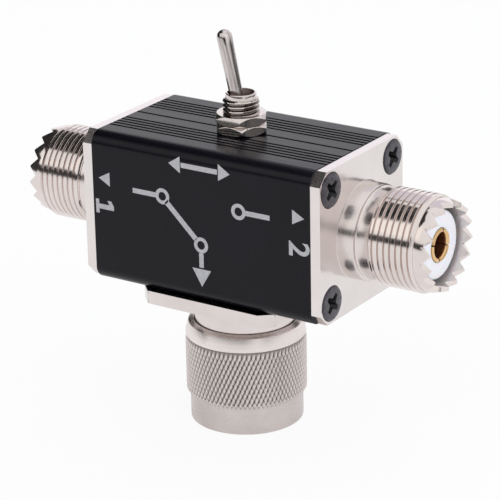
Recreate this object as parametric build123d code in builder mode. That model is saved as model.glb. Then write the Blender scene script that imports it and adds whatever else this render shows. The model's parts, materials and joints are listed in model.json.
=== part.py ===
from build123d import *
import math
import os

# A two-way coaxial antenna switch. X runs from the antenna 1 socket to the antenna 2 socket,
# the printed front faces -Y, and Z points up. The origin is at the centre of the coupling
# nut's rim, which the switch stands on. All sizes are in millimetres.

# Housing: a square extrusion that lies along X, with grooved top and bottom faces
housing_length = 41.7
housing_side = 25.6
housing_wall = 2.0
housing_edge_radius = 2.4
cavity_corner_radius = 1.0
port_radius = 2.5
groove_width = 0.42
groove_depth = 0.35
groove_pitch = 1.1
groove_count = 5
groove_group_centre = 5.55

# Square flanges of the three connectors, and the screws that hold them
flange_setback = 0.1
flange_corner = 2.0
screw_inset = 3.4
screw_radius = 1.5
screw_point_radius = 0.75
screw_point_length = 0.75
screw_length = 7.6
screw_head_radius = 2.8
screw_head_rim = 0.25
screw_head_edge = 0.08
screw_head_angle = 90.0
screw_recess_length = 3.0
screw_recess_width = 0.78
screw_recess_depth = 1.15
screw_recess_taper = 14.0
screw_hole_clearance = 0.1
screw_sink_clearance = 0.15

# Coupling thread that the sockets and the nut share: 5/8 inch, 24 turns to the inch
thread_radius = 7.94
thread_pitch = 1.058
thread_depth = 0.55
thread_crest = 0.57

# Antenna sockets, from the flange outwards
socket_flange_thickness = 1.75
socket_boss_setback = 0.04
socket_boss_length = 3.1
socket_boss_chamfer = 0.35
socket_neck_setback = 0.59
socket_neck_length = 2.8
socket_thread_turns = 7
socket_lead_setback = 0.44
socket_lead_length = 1.1
socket_lead_bevel = 0.28
socket_bore_radius = 6.35
socket_floor = 0.85
tooth_count = 16
tooth_height = 1.6
tooth_width = 2.72
tooth_tip_radius = 7.1
tooth_phase = 18.0
tooth_overcut = 0.4

# White insulator and gold contact of a socket
insulator_rear_radius = 4.6
insulator_rear_reach = 2.5
insulator_collar_length = 3.0
insulator_boss_radius = 5.55
insulator_face_depth = 2.0
insulator_edge = 0.25
contact_radius = 2.75
contact_bore_radius = 1.98
contact_bore_depth = 10.5
contact_mouth_chamfer = 0.3
contact_wall_behind = 1.6
contact_slit_width = 0.4
contact_slit_length = 8.0
contact_slit_count = 4
contact_slit_phase = -15.0
contact_air_gap = 0.05
cup_radius = 1.6
cup_reach = 7.0
cup_depth = 3.0

# Plug under the housing
plug_flange_thickness = 2.25
plug_neck_radius = 8.5
plug_seat_depth = 10.9
plug_sleeve_radius = 6.2
plug_sleeve_wall = 0.55
plug_sleeve_length = 8.7
plug_insulator_length = 6.8
plug_insulator_set_back = 1.9
plug_insulator_rear_radius = 4.0
plug_pin_collar_radius = 2.6
plug_pin_collar_length = 1.5
plug_pin_root_radius = 1.75
plug_pin_radius = 1.98
plug_pin_rim_gap = 0.6
plug_cup_radius = 1.3
lug_width = 1.1
lug_length = 1.5
lug_height = 0.65

# Coupling nut that turns on the plug's neck, and the ring that keeps it there
nut_length = 17.6
nut_flange_gap = 4.25
nut_clearance = 0.08
nut_lower_wall = 0.87
nut_knurl_wall = 1.57
nut_upper_wall = 1.47
nut_top_wall = 0.95
nut_top_bevel = 0.5
nut_band_height = 4.5
nut_knurl_bevel = 0.4
nut_collar_height = 2.95
nut_thread_turns = 8
nut_thread_runout = 0.436
nut_mouth_bevel = 0.6
nut_relief_clearance = 0.36
nut_neck_seat = 0.3
ring_height = 0.8
ring_set_back = 2.5
ring_seat = 0.55
ring_grip = 0.55
ring_split = 2.0

# Toggle switch: bushing, lever and hexagonal nuts
bushing_radius = 2.98
bushing_reach = 6.5
bushing_foot_radius = 3.5
bushing_foot_height = 1.0
bushing_rim_radius = 2.4
bushing_rim_bevel = 1.1
bushing_pitch = 0.75
bushing_thread_depth = 0.38
bushing_thread_crest = 0.12
hex_across_flats = 8.0
hex_thickness = 1.6
hex_face_inset = 0.05
hex_bevel_angle = 40.0
lower_hex_turn = 4.0
upper_hex_turn = 0.0
pivot_height = 2.0
lever_throw = 25.0
lever_length = 14.8
lever_tip_radius = 1.28
lever_root_radius = 1.02
lever_ball_radius = 1.9
lever_stem_radius = 1.4
lever_stem_length = 7.0
lever_bore_depth = 5.0
ear_radius = 0.5
ear_reach = 2.45
seat_opening = 1.5
moving_clearance = 0.07

# Toggle switch: plunger and spring in the lever
plunger_radius = 0.9
plunger_bore_clearance = 0.05
plunger_gap = 0.1
plunger_length = 5.2
spring_wire_radius = 0.12
spring_coil_radius = 0.68
spring_turns = 5

# Toggle switch: case, frame, rocker and terminals
case_length = 13.2
case_width = 7.9
case_height = 9.1
case_wall_x = 0.9
case_wall_y = 0.95
case_corner_radius = 0.475
case_floor = 1.5
frame_thickness = 0.8
frame_leg_thickness = 0.5
frame_leg_width = 5.6
frame_leg_length = 6.0
frame_tab_height = 0.7
frame_tab_width = 2.4
frame_tab_depth = 0.45
rocker_throw = 16.0
rocker_end_clearance = 0.5
rocker_width = 2.8
rocker_thickness = 0.5
rocker_hump_reach = 2.6
rocker_wing_reach = 3.6
rocker_rib_radius = 0.45
rocker_height = 1.6
terminal_inset = 1.0
terminal_thickness = 0.8
terminal_width = 2.4
terminal_reach = 4.2
terminal_hole_level = 3.0
contact_closed_gap = 0.03
cradle_clearance = 0.08
cradle_width = 2.2
cradle_wall = 0.5
cradle_slot_depth = 0.424

# Wires between the terminals and the solder cups
wire_radius = 0.5
wire_clearance = 0.06
wire_tail = 0.4
wire_straight = 1.5
wire_bend_run = 4.5
common_wire_offset = 1.5
common_wire_bend = 0.8
common_wire_rise = 0.7

# Levels and places that follow from the sizes above
housing_bottom = nut_length + nut_flange_gap + plug_flange_thickness
housing_top = housing_bottom + housing_side
axis_z = housing_bottom + housing_side / 2
cavity_side = housing_side - 2 * housing_wall
flange_side = housing_side - 2 * flange_setback
screw_spacing = housing_side - 2 * screw_inset
cavity_top = housing_top - housing_wall
half_throw = math.radians(lever_throw / 2)
half_rock = math.radians(rocker_throw / 2)
screw_circle = screw_spacing / math.sqrt(2)
screw_hole_radius = screw_radius + screw_hole_clearance
screw_sink_radius = screw_head_radius + screw_sink_clearance
pivot_z = housing_top + pivot_height
frame_bottom = cavity_top - frame_thickness
case_bottom = frame_bottom - case_height
case_floor_top = case_bottom + case_floor
case_cavity_length = case_length - 2 * case_wall_x
case_cavity_width = case_width - 2 * case_wall_y
rocker_length = case_cavity_length - 2 * rocker_end_clearance
terminal_pitch = case_cavity_length / 2 - terminal_inset
terminal_bottom = case_bottom - terminal_reach
wire_level = case_bottom - terminal_hole_level
rocker_z = case_floor_top + rocker_height
cup_bore_radius = wire_radius + wire_clearance
common_rise = wire_level - 2 * common_wire_offset
plug_cup_reach = common_rise - common_wire_rise - housing_bottom
plug_end = Plane(origin=(0, 0, housing_bottom), x_dir=(1, 0, 0), z_dir=(0, 0, -1))


def socket_end(side):
    """The plane of one housing end, with its normal pointing out along the socket."""
    return Plane(origin=(side * housing_length / 2, 0, axis_z), x_dir=(0, 1, 0), z_dir=(side, 0, 0))


def half_section(end):
    """The plane of a turned profile: x is the radius, y the distance out from the end."""
    return Plane(origin=end.origin, x_dir=end.x_dir, z_dir=end.x_dir.cross(end.z_dir))


def axis_of(end):
    """The axis that a piece on this end is turned about."""
    return Axis(end.origin, end.z_dir)


def radial_plane(end, distance, angle):
    """A plane that looks out from the axis at an angle, with its y along the axis."""
    outward = end.x_dir.rotate(Axis((0, 0, 0), end.z_dir), angle)
    return Plane(
        origin=end.origin + end.z_dir * distance, x_dir=end.z_dir.cross(outward), z_dir=outward
    )


def save(piece, name):
    """Name a finished piece and write it."""
    piece.part.label = name
    export_step(piece.part, f"parts/{name}.step")


os.makedirs("parts", exist_ok=True)

# ---------------------------------------------------------------- housing
housing_start = Plane(
    origin=(-housing_length / 2, 0, axis_z), x_dir=(0, 1, 0), z_dir=(1, 0, 0)
)
with BuildPart() as housing_tube:
    with BuildSketch(housing_start):
        RectangleRounded(housing_side, housing_side, housing_edge_radius)
        RectangleRounded(cavity_side, cavity_side, cavity_corner_radius, mode=Mode.SUBTRACT)
        with GridLocations(screw_spacing, screw_spacing, 2, 2):
            Circle(port_radius)
        with GridLocations(screw_spacing, screw_spacing, 2, 2):
            Circle(screw_radius, mode=Mode.SUBTRACT)
        with Locations((groove_group_centre, 0), (-groove_group_centre, 0)):
            with GridLocations(groove_pitch, housing_side, groove_count, 2):
                Rectangle(groove_width, 2 * groove_depth, mode=Mode.SUBTRACT)
        with GridLocations(0, housing_side, 1, 2):
            Rectangle(groove_width, 2 * groove_depth, mode=Mode.SUBTRACT)
    extrude(amount=housing_length)
    with Locations((0, 0, housing_top)):
        Hole(bushing_radius + moving_clearance, depth=housing_wall)
    with Locations(plug_end.location):
        Hole(plug_insulator_rear_radius + moving_clearance, depth=housing_wall)
        with GridLocations(screw_spacing, screw_spacing, 2, 2):
            Hole(screw_radius, depth=screw_length)
save(housing_tube, "housing_tube")

# ---------------------------------------------------------------- screw, as one of a group
screw_sink_depth = screw_sink_radius - screw_head_radius
with BuildPart() as flange_screw:
    with BuildSketch(Plane.XZ):
        with BuildLine():
            Polyline(
                (0, screw_head_rim - screw_sink_depth),
                (screw_head_radius, screw_head_rim - screw_sink_depth),
                (screw_head_radius, -screw_sink_depth),
                (screw_radius, -screw_sink_depth - screw_head_radius + screw_radius),
                (screw_radius, screw_point_length - screw_length),
                (screw_point_radius, -screw_length),
                (0, -screw_length),
                close=True,
            )
        make_face()
    revolve(axis=Axis.Z)
    chamfer(flange_screw.edges().group_by(Axis.Z)[-1], screw_head_edge)
    with BuildSketch(Plane.XY.offset(screw_head_rim - screw_sink_depth)):
        SlotOverall(screw_recess_length, screw_recess_width)
        SlotOverall(screw_recess_length, screw_recess_width, rotation=90)
    extrude(amount=-screw_recess_depth, taper=screw_recess_taper, mode=Mode.SUBTRACT)

# ---------------------------------------------------------------- antenna sockets
socket_boss_radius = thread_radius - socket_boss_setback
socket_neck_radius = thread_radius - socket_neck_setback
socket_lead_radius = thread_radius - socket_lead_setback
boss_end = socket_flange_thickness + socket_boss_length
neck_end = boss_end + socket_neck_length
thread_end = neck_end + socket_thread_turns * thread_pitch
teeth_root = thread_end + socket_lead_length
mouth = teeth_root + tooth_height
shell_floor = socket_flange_thickness + socket_floor
insulator_face = mouth - insulator_face_depth
contact_shoulder = insulator_face - contact_bore_depth - contact_wall_behind

for number, side in ((1, -1), (2, 1)):
    end = socket_end(side)
    section = half_section(end)
    outer_face = end.offset(socket_flange_thickness)

    with BuildPart() as socket_body:
        with BuildSketch(end) as flange:
            Rectangle(flange_side, flange_side)
            chamfer(flange.vertices(), flange_corner)
        extrude(amount=socket_flange_thickness)
        with BuildSketch(section):
            with BuildLine():
                Polyline(
                    (0, 0),
                    (socket_boss_radius, 0),
                    (socket_boss_radius, boss_end - socket_boss_chamfer),
                    (socket_boss_radius - socket_boss_chamfer, boss_end),
                    (socket_neck_radius, boss_end),
                    (socket_neck_radius, neck_end - thread_depth),
                    (thread_radius, neck_end),
                    (thread_radius, thread_end),
                    (socket_lead_radius, thread_end + socket_lead_bevel),
                    (socket_lead_radius, teeth_root),
                    (tooth_tip_radius, mouth),
                    (0, mouth),
                    close=True,
                )
            make_face()
        revolve(axis=axis_of(end))
        with BuildSketch(section):
            with Locations((thread_radius, (neck_end + thread_end) / 2)):
                with GridLocations(0, thread_pitch, 1, socket_thread_turns):
                    Polygon(
                        (0, (thread_pitch - thread_crest) / 2),
                        (0, (thread_crest - thread_pitch) / 2),
                        (-thread_depth, 0),
                        align=None,
                    )
        revolve(axis=axis_of(end), mode=Mode.SUBTRACT)
        with BuildSketch(section):
            with BuildLine():
                Polyline(
                    (0, 0),
                    (insulator_rear_radius, 0),
                    (insulator_rear_radius, shell_floor),
                    (socket_bore_radius, shell_floor),
                    (socket_bore_radius, mouth),
                    (0, mouth),
                    close=True,
                )
            make_face()
        revolve(axis=axis_of(end), mode=Mode.SUBTRACT)
        for tooth in range(tooth_count):
            gap_angle = tooth_phase + (tooth + 0.5) * 360 / tooth_count
            with BuildSketch(radial_plane(end, mouth, gap_angle)):
                Polygon(
                    (-tooth_width / 2, tooth_overcut),
                    (-tooth_width / 2, 0),
                    (0, -tooth_height),
                    (tooth_width / 2, 0),
                    (tooth_width / 2, tooth_overcut),
                    align=None,
                )
        extrude(amount=thread_radius, mode=Mode.SUBTRACT)
        with Locations(outer_face.location):
            with PolarLocations(screw_circle, 4, start_angle=45):
                CounterSinkHole(
                    screw_hole_radius,
                    screw_sink_radius,
                    depth=socket_flange_thickness,
                    counter_sink_angle=screw_head_angle,
                )
    save(socket_body, f"antenna_{number}_socket_body")

    with BuildPart() as insulator:
        with BuildSketch(section):
            with BuildLine():
                Polyline(
                    (cup_radius, -insulator_rear_reach),
                    (insulator_rear_radius, -insulator_rear_reach),
                    (insulator_rear_radius, shell_floor),
                    (socket_bore_radius, shell_floor),
                    (socket_bore_radius, shell_floor + insulator_collar_length),
                    (insulator_boss_radius, shell_floor + insulator_collar_length),
                    (insulator_boss_radius, insulator_face - insulator_edge),
                    (insulator_boss_radius - insulator_edge, insulator_face),
                    (contact_radius + contact_air_gap, insulator_face),
                    (contact_radius + contact_air_gap, contact_shoulder),
                    (cup_radius, contact_shoulder),
                    close=True,
                )
            make_face()
        revolve(axis=axis_of(end))
    save(insulator, f"antenna_{number}_insulator")

    with BuildPart() as contact:
        with BuildSketch(section):
            with BuildLine():
                Polyline(
                    (0, -cup_reach),
                    (cup_radius, -cup_reach),
                    (cup_radius, contact_shoulder),
                    (contact_radius, contact_shoulder),
                    (contact_radius, insulator_face),
                    (0, insulator_face),
                    close=True,
                )
            make_face()
        revolve(axis=axis_of(end))
        with Locations(end.offset(insulator_face).location):
            Hole(contact_bore_radius, depth=contact_bore_depth)
        mouth_edge = contact.faces().sort_by(axis_of(end))[-1].inner_wires().edges()
        chamfer(mouth_edge, contact_mouth_chamfer)
        for slit in range(contact_slit_count):
            slit_angle = contact_slit_phase + slit * 360 / contact_slit_count
            with BuildSketch(radial_plane(end, insulator_face - contact_slit_length / 2, slit_angle)):
                Rectangle(contact_slit_width, contact_slit_length)
        extrude(amount=contact_radius + contact_air_gap, mode=Mode.SUBTRACT)
        with BuildSketch(section):
            with Locations((0, -cup_reach)):
                Rectangle(cup_bore_radius, cup_depth, align=(Align.MIN, Align.MIN))
        revolve(axis=axis_of(end), mode=Mode.SUBTRACT)
    save(contact, f"antenna_{number}_contact")

    with BuildPart() as end_screws:
        with Locations(outer_face.location):
            with PolarLocations(screw_circle, 4, start_angle=45):
                add(flange_screw.part)
    save(end_screws, f"antenna_{number}_screws")

# ---------------------------------------------------------------- plug
plug_section = half_section(plug_end)
plug_sleeve_bore = plug_sleeve_radius - plug_sleeve_wall
sleeve_end = plug_seat_depth + plug_sleeve_length
plug_insulator_face = plug_seat_depth + plug_insulator_set_back
plug_insulator_shoulder = plug_insulator_face - plug_insulator_length
pin_tip = housing_bottom - plug_pin_rim_gap
ring_level = nut_length - ring_set_back
ring_inner_radius = plug_neck_radius - ring_seat
ring_outer_radius = plug_neck_radius + ring_grip
ring_groove_depth = housing_bottom - ring_level

with BuildPart() as plug_body:
    with BuildSketch(plug_end) as plug_flange:
        Rectangle(flange_side, flange_side)
        chamfer(plug_flange.vertices(), flange_corner)
    extrude(amount=plug_flange_thickness)
    with BuildSketch(plug_section):
        with BuildLine():
            Polyline(
                (0, 0),
                (plug_neck_radius, 0),
                (plug_neck_radius, plug_seat_depth),
                (plug_sleeve_radius, plug_seat_depth),
                (plug_sleeve_radius, sleeve_end),
                (0, sleeve_end),
                close=True,
            )
        make_face()
    revolve(axis=axis_of(plug_end))
    with BuildSketch(plug_section):
        with Locations((ring_inner_radius, ring_groove_depth)):
            Rectangle(
                plug_neck_radius, ring_height, align=(Align.MIN, Align.CENTER)
            )
    revolve(axis=axis_of(plug_end), mode=Mode.SUBTRACT)
    for lug in (0, 1):
        with BuildSketch(radial_plane(plug_end, plug_seat_depth + lug_length / 2, 180 * lug)):
            Rectangle(lug_width, lug_length)
    extrude(amount=plug_sleeve_radius + lug_height)
    with Locations(plug_end.offset(sleeve_end).location):
        Hole(plug_sleeve_bore, depth=sleeve_end - plug_insulator_shoulder)
        Hole(plug_insulator_rear_radius, depth=sleeve_end)
    with Locations(plug_end.offset(plug_flange_thickness).location):
        with PolarLocations(screw_circle, 4, start_angle=45):
            CounterSinkHole(
                screw_hole_radius,
                screw_sink_radius,
                depth=plug_flange_thickness,
                counter_sink_angle=screw_head_angle,
            )
save(plug_body, "plug_body")

with BuildPart() as plug_screws:
    with Locations(plug_end.offset(plug_flange_thickness).location):
        with PolarLocations(screw_circle, 4, start_angle=45):
            add(flange_screw.part)
save(plug_screws, "plug_screws")

pin_collar_end = plug_insulator_shoulder + plug_pin_collar_length
with BuildPart() as plug_insulator:
    with BuildSketch(plug_section):
        with BuildLine():
            Polyline(
                (plug_cup_radius, -insulator_rear_reach),
                (plug_insulator_rear_radius, -insulator_rear_reach),
                (plug_insulator_rear_radius, plug_insulator_shoulder),
                (plug_sleeve_bore, plug_insulator_shoulder),
                (plug_sleeve_bore, plug_insulator_face),
                (plug_pin_root_radius, plug_insulator_face),
                (plug_pin_root_radius, pin_collar_end),
                (plug_pin_collar_radius, pin_collar_end),
                (plug_pin_collar_radius, plug_insulator_shoulder),
                (plug_cup_radius, plug_insulator_shoulder),
                close=True,
            )
        make_face()
    revolve(axis=axis_of(plug_end))
save(plug_insulator, "plug_insulator")

with BuildPart() as plug_pin:
    with BuildSketch(plug_section):
        with BuildLine():
            Polyline(
                (0, pin_tip),
                (0, -plug_cup_reach),
                (plug_cup_radius, -plug_cup_reach),
                (plug_cup_radius, plug_insulator_shoulder),
                (plug_pin_collar_radius, plug_insulator_shoulder),
                (plug_pin_collar_radius, pin_collar_end),
                (plug_pin_root_radius, pin_collar_end),
                (plug_pin_root_radius, plug_insulator_face),
                (plug_pin_radius, plug_insulator_face),
                (plug_pin_radius, pin_tip - plug_pin_radius),
            )
            CenterArc((0, pin_tip - plug_pin_radius), plug_pin_radius, 0, 90)
        make_face()
    revolve(axis=axis_of(plug_end))
    with BuildSketch(plug_section):
        with Locations((0, -plug_cup_reach)):
            Rectangle(cup_bore_radius, cup_depth, align=(Align.MIN, Align.MIN))
    revolve(axis=axis_of(plug_end), mode=Mode.SUBTRACT)
save(plug_pin, "plug_pin")

# ---------------------------------------------------------------- coupling nut and its ring
nut_bore_radius = plug_neck_radius + nut_clearance
nut_lower_radius = nut_bore_radius + nut_lower_wall
nut_knurl_radius = nut_bore_radius + nut_knurl_wall
nut_upper_radius = nut_bore_radius + nut_upper_wall
nut_top_radius = nut_bore_radius + nut_top_wall
nut_knurl_top = nut_length - nut_collar_height
nut_relief_radius = thread_radius + nut_relief_clearance
nut_minor_radius = thread_radius - thread_depth + nut_clearance
nut_relief_top = housing_bottom - plug_seat_depth - nut_neck_seat
nut_thread_middle = nut_mouth_bevel + nut_thread_turns * thread_pitch / 2
nut_thread_length = nut_mouth_bevel + nut_thread_turns * thread_pitch + nut_thread_runout
with BuildPart() as coupling_nut:
    with BuildSketch(Plane.XZ):
        with BuildLine():
            Polyline(
                (nut_minor_radius + nut_mouth_bevel, 0),
                (nut_lower_radius, 0),
                (nut_lower_radius, nut_band_height),
                (nut_knurl_radius, nut_band_height + nut_knurl_bevel),
                (nut_knurl_radius, nut_knurl_top),
                (nut_upper_radius, nut_knurl_top),
                (nut_top_radius, nut_length - nut_top_bevel),
                (nut_bore_radius + nut_clearance, nut_length),
                (nut_bore_radius, nut_length - nut_clearance),
                (nut_bore_radius, nut_relief_top),
                (nut_relief_radius, nut_relief_top),
                (nut_relief_radius, nut_thread_length),
                (nut_minor_radius, nut_thread_length),
                (nut_minor_radius, nut_mouth_bevel),
                close=True,
            )
        make_face()
    revolve(axis=Axis.Z)
    with BuildSketch(Plane.XZ):
        with Locations((nut_minor_radius, nut_thread_middle)):
            with GridLocations(0, thread_pitch, 1, nut_thread_turns):
                Polygon(
                    (0, (thread_pitch - thread_crest) / 2),
                    (0, (thread_crest - thread_pitch) / 2),
                    (thread_depth, 0),
                    align=None,
                )
    revolve(axis=Axis.Z, mode=Mode.SUBTRACT)
    with BuildSketch(Plane.XZ):
        with Locations((nut_bore_radius, ring_level)):
            Rectangle(
                ring_outer_radius - nut_bore_radius + nut_clearance,
                ring_height + 2 * nut_clearance,
                align=(Align.MIN, Align.CENTER),
            )
    revolve(axis=Axis.Z, mode=Mode.SUBTRACT)
save(coupling_nut, "coupling_nut")

with BuildPart() as nut_snap_ring:
    with BuildSketch(Plane.XY.offset(ring_level - ring_height / 2)):
        Circle(ring_outer_radius)
        Circle(ring_inner_radius, mode=Mode.SUBTRACT)
        Rectangle(
            ring_outer_radius, ring_split, align=(Align.MIN, Align.CENTER), mode=Mode.SUBTRACT
        )
    extrude(amount=ring_height)
save(nut_snap_ring, "nut_snap_ring")

# ---------------------------------------------------------------- toggle switch, fixed pieces
pivot_up = Plane(origin=(0, 0, pivot_z), x_dir=(1, 0, 0), z_dir=(0, 0, 1))
pivot_section = half_section(pivot_up)
bushing_top = bushing_reach - pivot_height
bushing_foot = frame_bottom - bushing_foot_height - pivot_z
seat_radius = lever_ball_radius + moving_clearance
lever_slope = (lever_tip_radius - lever_root_radius) / (lever_length - lever_tip_radius)
seat_opening_height = math.sqrt(seat_radius**2 - seat_opening**2)
stem_swing = lever_stem_radius / math.cos(half_throw) + moving_clearance
flare_start = -(seat_radius - stem_swing) / math.tan(half_throw)
flare_radius = stem_swing - bushing_foot * math.tan(half_throw)
rim_bore_radius = (
    bushing_top * math.tan(half_throw)
    + (lever_root_radius + lever_slope * bushing_top) / math.cos(half_throw)
    + moving_clearance
)
hex_stack = 2 * hex_thickness
hex_face_radius = hex_across_flats / 2 - hex_face_inset
hex_overhang = hex_thickness / 2 / math.tan(math.radians(hex_bevel_angle))
thread_first = hex_stack - pivot_height
bushing_turns = math.floor((bushing_top - bushing_rim_bevel - thread_first) / bushing_pitch) + 1

with BuildPart() as switch_bushing:
    with BuildSketch(pivot_section):
        with BuildLine():
            Polyline(
                (rim_bore_radius, bushing_top),
                (bushing_rim_radius, bushing_top),
                (bushing_radius, bushing_top - bushing_rim_bevel),
                (bushing_radius, frame_bottom - pivot_z),
                (bushing_foot_radius, frame_bottom - pivot_z),
                (bushing_foot_radius, bushing_foot),
                (flare_radius, bushing_foot),
                (seat_radius, flare_start),
                (seat_radius, 0),
            )
            CenterArc(
                (0, 0), seat_radius, 0, math.degrees(math.acos(seat_opening / seat_radius))
            )
            Line((seat_opening, seat_opening_height), (rim_bore_radius, bushing_top))
        make_face()
    revolve(axis=axis_of(pivot_up))
    with BuildSketch(pivot_section):
        with Locations((bushing_radius, bushing_top - bushing_rim_bevel / 2)):
            for turn in range(bushing_turns):
                with Locations((0, -turn * bushing_pitch)):
                    Polygon(
                        (bushing_pitch, (bushing_pitch - bushing_thread_crest) / 2 + bushing_pitch),
                        (0, (bushing_pitch - bushing_thread_crest) / 2),
                        (-bushing_thread_depth, 0),
                        (0, (bushing_thread_crest - bushing_pitch) / 2),
                        (bushing_pitch, (bushing_thread_crest - bushing_pitch) / 2),
                        align=None,
                    )
    revolve(axis=axis_of(pivot_up), mode=Mode.SUBTRACT)
    with BuildSketch(Plane.XZ):
        with Locations((0, pivot_z)):
            Circle(ear_radius + moving_clearance)
            Rectangle(
                2 * (ear_radius + moving_clearance),
                -bushing_foot,
                align=(Align.CENTER, Align.MAX),
            )
    extrude(amount=ear_reach + moving_clearance, both=True, mode=Mode.SUBTRACT)
save(switch_bushing, "switch_bushing")

leg_bottom = cavity_top - frame_leg_length
with BuildPart() as switch_case:
    with BuildSketch(Plane.XY.offset(case_bottom)):
        Rectangle(case_length, case_width)
    extrude(amount=case_height)
    fillet(switch_case.edges().filter_by(Axis.Z), case_corner_radius)
    with BuildSketch(Plane.XY.offset(case_floor_top)):
        Rectangle(case_cavity_length, case_cavity_width)
    extrude(amount=case_height - case_floor, mode=Mode.SUBTRACT)
    with Locations((0, 0, frame_bottom)):
        Hole(bushing_foot_radius, depth=bushing_foot_height)
    with BuildSketch(Plane.XY.offset(case_bottom)):
        with GridLocations(terminal_pitch, 0, 3, 1):
            Rectangle(terminal_thickness, terminal_width)
    extrude(amount=case_floor, mode=Mode.SUBTRACT)
    with BuildSketch(Plane.XY.offset(leg_bottom)):
        with GridLocations(case_length - frame_tab_depth, 0, 2, 1):
            Rectangle(frame_tab_depth, frame_tab_width)
    extrude(amount=frame_tab_height, mode=Mode.SUBTRACT)
save(switch_case, "switch_case")

with BuildPart() as switch_frame:
    with BuildSketch(Plane.XY.offset(frame_bottom)):
        Rectangle(case_length + 2 * frame_leg_thickness, case_width)
        Circle(bushing_radius, mode=Mode.SUBTRACT)
    extrude(amount=frame_thickness)
    with BuildSketch(Plane.XY.offset(leg_bottom)):
        with GridLocations(case_length + frame_leg_thickness, 0, 2, 1):
            Rectangle(frame_leg_thickness, frame_leg_width)
    extrude(amount=frame_leg_length)
    with BuildSketch(Plane.XY.offset(leg_bottom)):
        with GridLocations(case_length - frame_tab_depth, 0, 2, 1):
            Rectangle(frame_tab_depth, frame_tab_width)
    extrude(amount=frame_tab_height)
save(switch_frame, "switch_frame")

for level, turn, place in ((0, lower_hex_turn, "lower"), (1, upper_hex_turn, "upper")):
    hex_bottom = Plane.XY.offset(housing_top + level * hex_thickness)
    with BuildPart() as hex_nut:
        with BuildSketch(hex_bottom):
            RegularPolygon(hex_across_flats / 2, 6, major_radius=False, rotation=turn)
            Circle(bushing_radius, mode=Mode.SUBTRACT)
        extrude(amount=hex_thickness)
        with BuildSketch(half_section(hex_bottom)):
            with BuildLine():
                Polyline(
                    (0, 0),
                    (hex_face_radius, 0),
                    (hex_face_radius + hex_overhang, hex_thickness / 2),
                    (hex_face_radius, hex_thickness),
                    (0, hex_thickness),
                    close=True,
                )
            make_face()
        revolve(axis=Axis.Z, mode=Mode.INTERSECT)
    save(hex_nut, f"{place}_hex_nut")

# ---------------------------------------------------------------- toggle switch, lever group
lever_up = Plane(
    origin=(0, 0, pivot_z),
    x_dir=(math.cos(half_throw), 0, math.sin(half_throw)),
    z_dir=(-math.sin(half_throw), 0, math.cos(half_throw)),
)
lever_section = half_section(lever_up)
plunger_bore = plunger_radius + plunger_bore_clearance
rocker_drop = pivot_z - rocker_z
ball_reach = rocker_drop - rocker_thickness - plunger_gap - plunger_radius
plunger_top = plunger_length - ball_reach - plunger_radius
bore_top = lever_bore_depth - lever_stem_length

with BuildPart() as toggle_lever:
    with BuildSketch(lever_section):
        with BuildLine():
            Polyline(
                (0, lever_length),
                (0, -lever_stem_length),
                (lever_stem_radius, -lever_stem_length),
                (lever_stem_radius, 0),
                (lever_root_radius, 0),
                (lever_tip_radius, lever_length - lever_tip_radius),
            )
            CenterArc((0, lever_length - lever_tip_radius), lever_tip_radius, 0, 90)
        make_face()
    revolve(axis=axis_of(lever_up))
    with Locations(lever_up.location):
        Sphere(lever_ball_radius)
    with BuildSketch(Plane.XZ):
        with Locations((0, pivot_z)):
            Circle(ear_radius)
    extrude(amount=ear_reach, both=True)
    with BuildSketch(lever_section):
        with Locations((0, bore_top)):
            Rectangle(plunger_bore, lever_bore_depth, align=(Align.MIN, Align.MAX))
    revolve(axis=axis_of(lever_up), mode=Mode.SUBTRACT)
save(toggle_lever, "toggle_lever")

with BuildPart() as lever_plunger:
    with BuildSketch(lever_section):
        with BuildLine():
            Polyline(
                (0, -ball_reach - plunger_radius),
                (0, plunger_top),
                (plunger_radius, plunger_top),
                (plunger_radius, -ball_reach),
            )
            CenterArc((0, -ball_reach), plunger_radius, 0, -90)
        make_face()
    revolve(axis=axis_of(lever_up))
save(lever_plunger, "lever_plunger")

spring_start = lever_up.offset(plunger_top + spring_wire_radius)
spring_height = bore_top - plunger_top - 2 * spring_wire_radius
with BuildPart() as plunger_spring:
    with BuildLine() as coil:
        Helix(
            pitch=spring_height / spring_turns,
            height=spring_height,
            radius=spring_coil_radius,
            center=spring_start.origin,
            direction=spring_start.z_dir,
        )
    with BuildSketch(Plane(origin=coil.line @ 0, z_dir=coil.line % 0)):
        Circle(spring_wire_radius)
    sweep(is_frenet=True)
save(plunger_spring, "plunger_spring")

# ---------------------------------------------------------------- rocker and terminals
# The plunger's round end runs along a dish in the rocker. Its centre is followed in the
# rocker's own frame, from the middle of the throw to its end, and the dish keeps clear of it.
end_x = ball_reach * math.sin(half_throw)
end_z = rocker_drop - ball_reach * math.cos(half_throw)
path_x = end_x * math.cos(half_rock) - end_z * math.sin(half_rock)
path_rise = end_x * math.sin(half_rock) + end_z * math.cos(half_rock) - rocker_drop + ball_reach
path_radius = (path_x**2 + path_rise**2) / (2 * path_rise)
dish_radius = path_radius + plunger_radius + plunger_gap
dish_centre = rocker_thickness + dish_radius
hump_z = dish_centre - math.sqrt(dish_radius**2 - rocker_hump_reach**2)

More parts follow.
